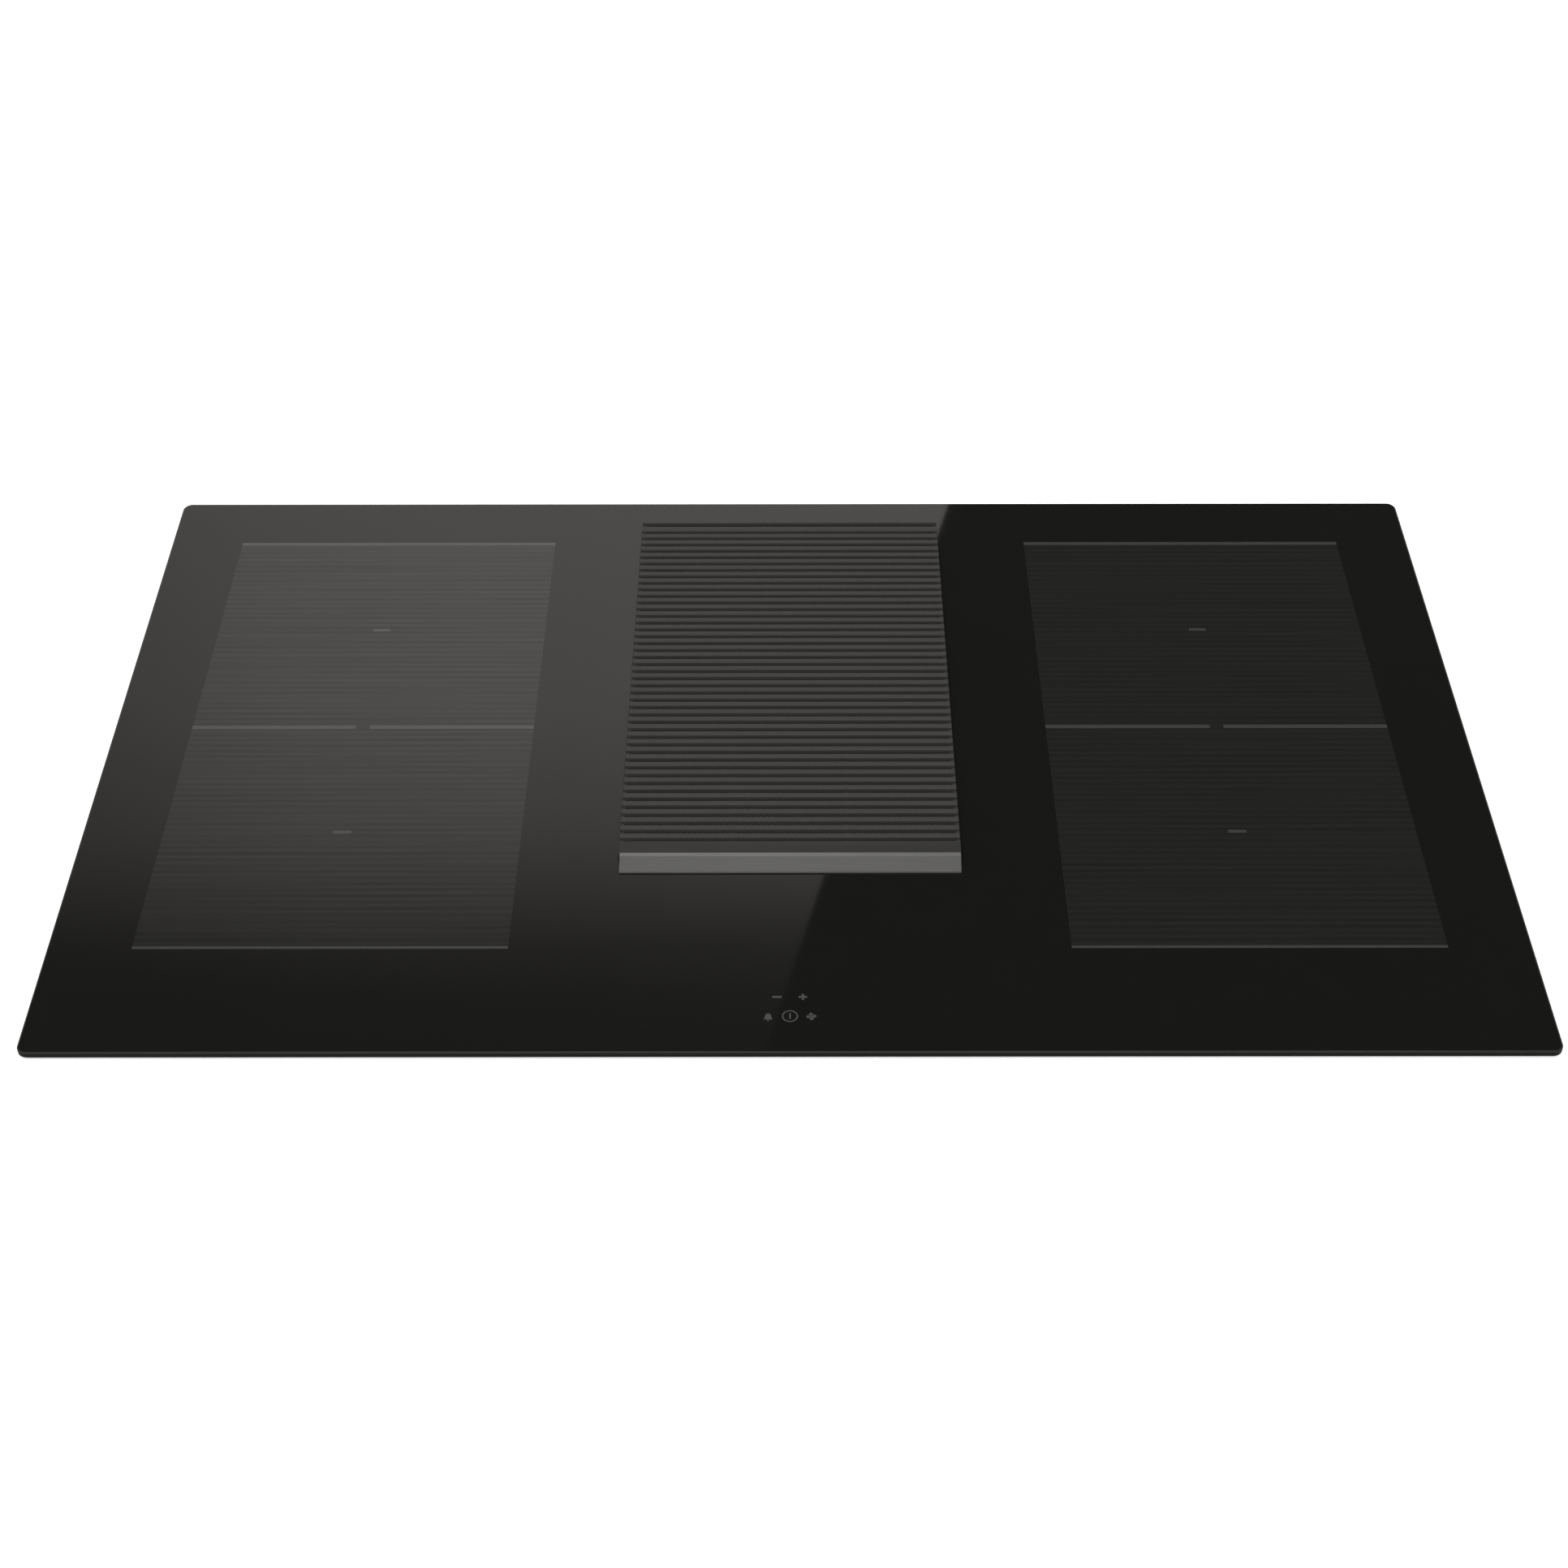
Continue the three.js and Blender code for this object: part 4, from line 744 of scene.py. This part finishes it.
def grille():
    """Full-width slats over a low frame, with a flat strip in painted shade in front and a thin rim
    behind.
    """
    bm = bmesh.new()
    low, high = grille_bottom, grille_top
    rail_top = high - groove_depth
    slot_end = grille_x1 - grille_rim
    last = grille_y1 - grille_rim
    first = last - slat_count * slat_pitch - slot_width
    rim_front = last + rear_slat_extra
    rib_y0 = grille_y0 + rib_front_gap
    rib_top = low + 0.4

    frame_outline = outlines(-slat_end, slat_end, grille_y0, grille_y1, frame_radius, 4)
    slot_outline = outlines(-slot_end, slot_end, first, rim_front, slot_radius, 4)
    loft(bm, [slot_outline(0, low), frame_outline(-0.3, low), frame_outline(0, low + 0.3),
              frame_outline(0, rail_top - 0.2), frame_outline(-0.2, rail_top),
              slot_outline(0.2, rail_top), slot_outline(0, rail_top - 0.2)], ring=True)
    # The flat strip takes the darker copy of the coating, a painted shade.
    shaded_strip_material = 1
    for face in block(bm, -slat_end, slat_end, grille_y0, first, low + 0.1, high, 0.5):
        face.material_index = shaded_strip_material
    block(bm, -slat_end, slat_end, rim_front, grille_y1, low + 0.1, high, 0.4)
    for k in range(slat_count):
        y0 = first + slot_width + k * slat_pitch
        extra = rear_slat_extra if k == slat_count - 1 else 0
        slat(bm, y0, y0 + slat_pitch - slot_width + extra)
    for x in (-rib_x, rib_x):
        block(bm, x - rib_half, x + rib_half, rib_y0, grille_y1 - rib_rear_gap, low - rib_depth,
              rib_top, 0.3)
    for side in (-1, 1):
        for y0 in (rib_y0, grille_y1 - (rib_rear_gap + lug_length)):
            x0, x1 = sorted((side * lug_x0, side * lug_x1))
            block(bm, x0, x1, y0, y0 + lug_length, lug_bottom, rib_top, 0.5)
    piece("intake_grille", bm, "grille", [finishes["matt_black"], strip_shade_coat],
          smooth=40, replaced=["grille_slats"])


def front_bar():
    """An extruded bar: a sloping brushed face under a top edge in a lighter copy of its metal, a
    painted highlight.
    """
    bm = bmesh.new()
    ridge = bar_y1 - bar_ridge
    nose = bar_bottom + bar_nose

    def section(x, inset):
        front, back = bar_y0 + inset, bar_y1 - inset
        low, high = bar_low + inset, bar_top - inset
        points = [
            (front + 0.2, low), (back - 0.2, low), (back, low + 0.2), (back, high - 0.35),
            (back - 0.1, high - 0.1), (back - 0.35, high), (ridge + 0.3, high),
            (ridge, high - 0.06), (ridge - 0.3, high - 0.16),
            (front + 0.9, nose + 0.1 - inset * 0.4), (front + 0.3, nose - 0.25),
            (front, nose - 0.8), (front, low + 0.2),
        ]
        return [(x, y, z) for y, z in points]

    loops = [section(bar_left, 0.4), section(bar_left + 0.12, 0.12), section(bar_left + 0.4, 0),
             section(bar_right - 0.4, 0), section(bar_right - 0.12, 0.12), section(bar_right, 0.4)]
    faces = loft(bm, loops)
    step = len(loops[0])
    # The top edge's faces take the lighter copy of the metal, a painted highlight.
    top_faces, edge_material = (3, 4, 5, 6), 1
    for band in range(len(loops) - 1):
        for k in top_faces:
            faces[band * step + k].material_index = edge_material
    piece("intake_bar", bm, "grille", [finishes["dark_metal"], bar_highlight_metal],
          smooth=30, replaced=["grille_front_bar"])


grille()
front_bar()

# ---- Pressings, ribs and screws under the glass ---------------------------------------------------


def box_walls(side, sign):
    """The outer side wall of a steel box, and its front and rear walls."""
    x0, x1, y0, y1, _, _ = extent("steel_box_" + side)
    return wall("x", x1 if sign > 0 else x0, sign), (wall("y", y0, -1), wall("y", y1, 1))


def pressed_wall(bm, place, bead_ends, louvres, louvre_half):
    """Two beads along a wall, with a row of hooded louvres between them."""
    for z in bead_levels:
        bead(bm, place, *bead_ends, z)
    for u in louvres:
        raised(bm, place, u - louvre_half, u + louvre_half, louvre_bottom, louvre_top,
               louvre_height, louvre_radius, louvre_edge, hood=True)


def box_pressings(side, sign):
    bm = bmesh.new()
    outside, ends = box_walls(side, sign)
    pressed_wall(bm, outside, side_beads, spread(*side_louvres), side_louvre_half)
    first, last, count = end_louvres
    for end in ends:
        pressed_wall(bm, end, sorted(sign * x for x in end_beads),
                     spread(sign * first, sign * last, count), end_louvre_half)
    piece("box_pressings_" + side, bm, "hob", [finishes["galvanised_steel"]])


def box_screws(side, sign):
    bm = bmesh.new()
    outside, ends = box_walls(side, sign)
    for y, z in side_screws:
        screw(bm, outside, y, z)
    for end in ends:
        for x, z in end_screws:
            screw(bm, end, sign * x, z)
    piece("box_screws_" + side, bm, "hob", [finishes["bright_steel"]])


def case_extent():
    """The extractor case's box, as far back as its cover."""
    x0, x1, y0, y1, z0, z1 = extent("extractor_case")
    return x0, x1, y0, min(y1, extent("extractor_cover")[3]), z0, z1


def clip(bm, place, u, top):
    """A snap clip over the case's rim: a plate with a catch on it."""
    plate_half, plate_height, catch_half, catch_height = 9, 4.2, 5.5, 5.6
    raised(bm, place, u - plate_half, u + plate_half, top - 16, top + 0.2, plate_height, 2, 0.8)
    raised(bm, place, u - catch_half, u + catch_half, top - 12.5, top - 8, catch_height, 1.2, 0.7)


def case_mouldings():
    """Rim, ribs, beads and clips of the extractor's case."""
    bm = bmesh.new()
    x0, x1, y0, y1, z0, z1 = case_extent()
    rib_bottom, rib_top, rib_half, rib_height, from_corner = z0 + 6, z1 - 12, 1.1, 2.2, 15
    around = outlines(x0, x1, y0, y1, 1, 4, least=1)
    loft(bm, [around(out, z1 - down) for out, down in case_rim], ring=True)
    front, left, right = wall("y", y0, -1), wall("x", x0, -1), wall("x", x1, 1)
    for place, start, end, count in [(front, x0, x1, 13), (left, y0, y1, 11), (right, y0, y1, 11)]:
        spots = spread(start + from_corner, end - from_corner, count)
        ribs(bm, place, spots, rib_half, rib_bottom, rib_top, rib_height)
        for z in (z0 + 5, rib_top):
            bead(bm, place, start + 6, end - 6, z, 4, 1.8)
    beside_duct = spread(x0 + from_corner, extent("outlet_duct")[0] - 14, 5)
    ribs(bm, wall("y", y1, 1), beside_duct, rib_half, rib_bottom, rib_top, rib_height)
    for place, start, end, count in [(front, x0 + 45, x1 - 45, 4), (left, y0 + 50, y1 - 50, 3),
                                     (right, y0 + 50, y1 - 50, 3)]:
        for u in spread(start, end, count):
            clip(bm, place, u, z1)
    piece("case_mouldings", bm, "hob", [finishes["case_plastic"]])


def case_screws():
    bm = bmesh.new()
    x0, x1, y0, y1, _, z1 = case_extent()
    for place in (wall("y", y0, -1), wall("y", y1, 1)):
        for x in (x0 + 7, x1 - 7):
            screw(bm, place, x, z1 - 21, 3.2)
    piece("case_screws", bm, "hob", [finishes["bright_steel"]])


def tray_mouldings():
    """Ribs of the touch tray and of the shaft's front and rear walls."""
    bm = bmesh.new()
    x0, x1, y0, _, z0, z1 = extent("touch_tray")
    front = wall("y", y0, -1)
    ribs(bm, front, spread(x0 + 14, x1 - 14, 9), 0.9, z0 + 2, z1 - 3, 1.6, 0.6, 0.4)
    bead(bm, front, x0 + 6, x1 - 6, z0 + 3.2, 3.4, 1.5)
    for u in (x0 + 40, x1 - 40):
        raised(bm, front, u - 8, u + 8, z0 + 5, z1 - 4, 2.6, 1.6, 0.7)
    shaft_x0, shaft_x1 = extent("intake_shaft")[:2]
    for place in (wall("y", opening_y0 - shaft_wall, -1), wall("y", opening_y1 + shaft_wall, 1)):
        ribs(bm, place, spread(-shaft_rib_span, shaft_rib_span, 7), 1, shaft_rib_bottom,
             shaft_rib_top, 1.8)
        bead(bm, place, shaft_x0 + 14, shaft_x1 - 14, shaft_bead_level, 4, 1.6)
    piece("tray_mouldings", bm, "hob", [finishes["case_plastic"]])


def terminal_screws():
    bm = bmesh.new()
    x0, x1, y0, y1, z0, _ = extent("terminal_cover")
    under = wall("z", z0, -1)
    for x in (x0 + 6, x1 - 6):
        for y in (y0 + 6, y1 - 6):
            screw(bm, under, x, y, 2.8, 1.6)
    piece("terminal_screws", bm, "hob", [finishes["bright_steel"]])


def flap_ribs():
    """Stiffening ribs on the back of the non-return flap."""
    bm = bmesh.new()
    x0, x1, _, _, z0, _ = extent("non_return_flap")
    back = wall("y", flap_back, 1)
    ribs(bm, back, spread(x0 + 16, x1 - 16, 6), 1, z0 + 8, flap_rib_top, 1.6)
    bead(bm, back, x0 + 8, x1 - 8, z0 + 5, 3.4, 1.4)
    slot = slot_of["non_return_flap"]
    piece("flap_ribs", bm, "flap", [finishes[slot]])


def filter_beads():
    """Pressed beads round the filter's sides."""
    bm = bmesh.new()
    side = basket_half_width
    for z in basket_bead_levels:
        for sign in (-1, 1):
            bead(bm, wall("x", sign * side, sign), basket_y0 + 10, basket_y1 - 10, z, 4.5, 0.9)
        for y, facing in ((basket_y0, -1), (basket_y1, 1)):
            bead(bm, wall("y", y, facing), -side + 10, side - 10, z, 4.5, 0.9)
    piece("filter_beads", bm, "grease_filter", [finishes["bright_steel"]])


def tray_rim():
    """A rolled rim round the drip tray."""
    bm = bmesh.new()
    x0, x1, y0, y1, _, z1 = extent("drip_tray")
    around = outlines(x0, x1, y0, y1, 1.2, 4, least=1.2)
    loft(bm, [around(out, z1 - down) for out, down in tray_roll], ring=True)
    piece("tray_rim", bm, "tray", [finishes["case_plastic"]])


for side, sign in (("left", -1), ("right", 1)):
    box_pressings(side, sign)
    box_screws(side, sign)
case_mouldings()
case_screws()
tray_mouldings()
terminal_screws()
flap_ribs()
filter_beads()
tray_rim()

# ---- Stage: worktop, dark surround and reflection card --------------------------------------------


def stage_object(name, points, faces, material):
    mesh = bpy.data.meshes.new(name)
    mesh.from_pydata(points, [], faces)
    mesh.materials.append(material)
    obj = bpy.data.objects.new(name, mesh)
    bpy.context.scene.collection.objects.link(obj)
    return obj


def mirrored_only(obj):
    """Leaves the object to glossy rays: it shows only in reflections."""
    obj.visible_camera = False
    obj.visible_diffuse = False
    obj.visible_transmission = False
    obj.visible_volume_scatter = False
    obj.visible_shadow = False


def blank_material(name):
    """A material with only an output, its node tree and the output's socket."""
    mat = bpy.data.materials.new(name)
    mat.use_nodes = True
    mat.node_tree.nodes.clear()
    tree = NodeTree(mat.node_tree)
    return mat, tree, tree.add("ShaderNodeOutputMaterial").inputs["Surface"]


def worktop_material():
    """Pale and lifted to white where seen directly, and clear from below."""
    mat, tree, surface = blank_material("pale worktop")
    diffuse = tree.add("ShaderNodeBsdfDiffuse")
    diffuse.inputs["Color"].default_value = (0.9, 0.9, 0.9, 1)
    glow = tree.add("ShaderNodeEmission")
    tree.feed(glow.inputs["Strength"], tree.maths("MULTIPLY", tree.seen_directly(), 0.4))
    both = tree.add("ShaderNodeAddShader")
    tree.feed(both.inputs[0], diffuse.outputs[0])
    tree.feed(both.inputs[1], glow.outputs[0])
    pick = tree.add("ShaderNodeMixShader")
    tree.feed(pick.inputs[0], tree.add("ShaderNodeNewGeometry").outputs["Backfacing"])
    tree.feed(pick.inputs[1], both.outputs[0])
    tree.feed(pick.inputs[2], tree.add("ShaderNodeBsdfTransparent").outputs[0])
    tree.feed(surface, pick.outputs[0])
    return mat


def glowing(name, colour_at):
    """A material that glows in the colour that a function gives for the world's x and z."""
    mat, tree, surface = blank_material(name)
    glow = tree.add("ShaderNodeEmission")
    x, _, z = tree.axes(tree.add("ShaderNodeNewGeometry").outputs["Position"])
    tree.feed(glow.inputs["Color"], colour_at(tree, x, z))
    tree.feed(surface, glow.outputs[0])
    return mat


def worktop():
    """A wide plane with the real cut-out in it."""
    far = 20
    cx, cy = cutout_half_width * MM, cutout_half_depth * MM
    points = [(-far, -far, 0), (far, -far, 0), (far, far, 0), (-far, far, 0),
              (-cx, -cy, 0), (cx, -cy, 0), (cx, cy, 0), (-cx, cy, 0)]
    faces = [(0, 1, 5, 4), (1, 2, 6, 5), (2, 3, 7, 6), (3, 0, 4, 7)]
    obj = stage_object("worktop", points, faces, worktop_material())
    obj.visible_shadow = False


def dark_flag():
    """A dark dome at the height that the glass mirrors, open at the horizon and overhead."""
    radius, around = 12.0, 96
    elevations = range(4, 63, 2)
    points, faces = [], []
    for e in elevations:
        for i in range(around):
            a = 2 * math.pi * i / around
            r = radius * math.cos(math.radians(e))
            points.append((r * math.cos(a), r * math.sin(a), radius * math.sin(math.radians(e))))
    for row in range(len(elevations) - 1):
        for i in range(around):
            j = (i + 1) % around
            a, b = row * around, (row + 1) * around
            faces.append((a + i, b + i, b + j, a + j))

    def colour_at(tree, x, z):
        low, high = [math.sin(math.radians(e)) * radius for e in (elevations[0], elevations[-1])]
        return tree.greys(z, low, high, [(0.0, 0.75), (0.07, 0.4), (0.2, 0.13), (0.5, 0.055),
                                         (0.92, 0.055), (1.0, 0.4)])

    mirrored_only(stage_object("dark_flag", points, faces, glowing("dark flag", colour_at)))


def reflection_card():
    """A grey card behind the hob, whose slanting edge the glass mirrors."""
    behind, left, low, high = 1.5, -1.5, 0.36, 1.95
    (x0, z0), (x1, z1) = (0.2016, 0.8604), (-0.0051, 1.7294)  # two points on the slanting edge

    def edge_at(z):
        return x0 + (x1 - x0) / (z1 - z0) * (z - z0)

    points = [(left, behind, low), (edge_at(low), behind, low), (edge_at(high), behind, high),
              (left, behind, high)]

    def colour_at(tree, x, z):
        """Fades to the top and the left, with a warm tint, and is brighter near the edge."""
        up = tree.greys(z, 0.36, 1.86, [(0.0, 0.07), (0.3, 0.91), (0.533, 0.9), (0.613, 0.81),
                                        (0.7, 0.665), (0.787, 0.385), (0.853, 0.19), (0.92, 0.11),
                                        (1.0, 0.08)])
        across = tree.greys(x, -1.5, -0.4, [(0.0, 0.16), (0.36, 0.6), (0.49, 0.65), (0.64, 0.79),
                                            (0.75, 0.9), (1.0, 1.0)])
        near_edge = tree.greys(x, -0.3, 0.02, [(0.0, 0.0), (1.0, 1.0)])
        gain_up = tree.greys(z, 0.86, 1.76, [(0.0, 0.05), (0.71, 0.2), (0.87, 0.12), (1.0, 0.16)])
        gain = tree.vector_maths("ADD", tree.vector_maths("MULTIPLY", near_edge, gain_up),
                                 (1.035, 0.99, 0.975))
        colour = tree.vector_maths("MULTIPLY", tree.vector_maths("MULTIPLY", up, across), gain)
        return tree.vector_maths("MAXIMUM", colour, (0.075, 0.075, 0.075))

    mirrored_only(stage_object("reflection_card", points, [(0, 1, 2, 3)],
                               glowing("reflection card", colour_at)))


worktop()
dark_flag()
reflection_card()

# ---- World, lamps and camera ----------------------------------------------------------------------


def world_light():
    """A soft even light that is white where it is seen directly."""
    world = bpy.data.worlds.new("studio")
    world.use_nodes = True
    background = world.node_tree.nodes["Background"]
    background.inputs["Color"].default_value = (1, 1, 1, 1)
    tree = NodeTree(world.node_tree)
    tree.feed(background.inputs["Strength"], tree.ramp(tree.seen_directly(), 0.5, 1.0))
    bpy.context.scene.world = world


def sun(name, azimuth, elevation, energy, softness):
    """A soft distant lamp that shines from that direction, in degrees."""
    data = bpy.data.lights.new(name, "SUN")
    data.energy = energy
    data.angle = math.radians(softness)
    obj = bpy.data.objects.new(name, data)
    a, e = math.radians(azimuth), math.radians(elevation)
    towards = Vector((math.sin(a) * math.cos(e), -math.cos(a) * math.cos(e), math.sin(e)))
    obj.rotation_mode = "QUATERNION"
    obj.rotation_quaternion = towards.to_track_quat("Z", "Y")
    obj.location = towards * 3
    obj.visible_glossy = False
    bpy.context.scene.collection.objects.link(obj)


def camera():
    """The photograph's camera, as the plate's edges give it."""
    place, down, roll = (0, -1.2075, 1.0135), 40.77, -0.06
    data = bpy.data.cameras.new("camera")
    data.lens = 59.13
    data.sensor_width = 36
    data.shift_x, data.shift_y = -0.00366, 0.00062
    data.clip_start, data.clip_end = 0.05, 100
    obj = bpy.data.objects.new("camera", data)
    obj.location = place
    tilted = Matrix.Rotation(math.radians(90 - down), 3, "X")
    rolled = Matrix.Rotation(math.radians(roll), 3, "Z")
    obj.rotation_euler = (tilted @ rolled).to_euler()
    bpy.context.scene.collection.objects.link(obj)
    bpy.context.scene.camera = obj


world_light()
sun("key", -20, 53, 1.6, 30)
sun("fill", 75, 60, 0.3, 60)
sun("under", 25, -35, 0.5, 60)
camera()
bpy.context.scene.view_settings.view_transform = "Standard"
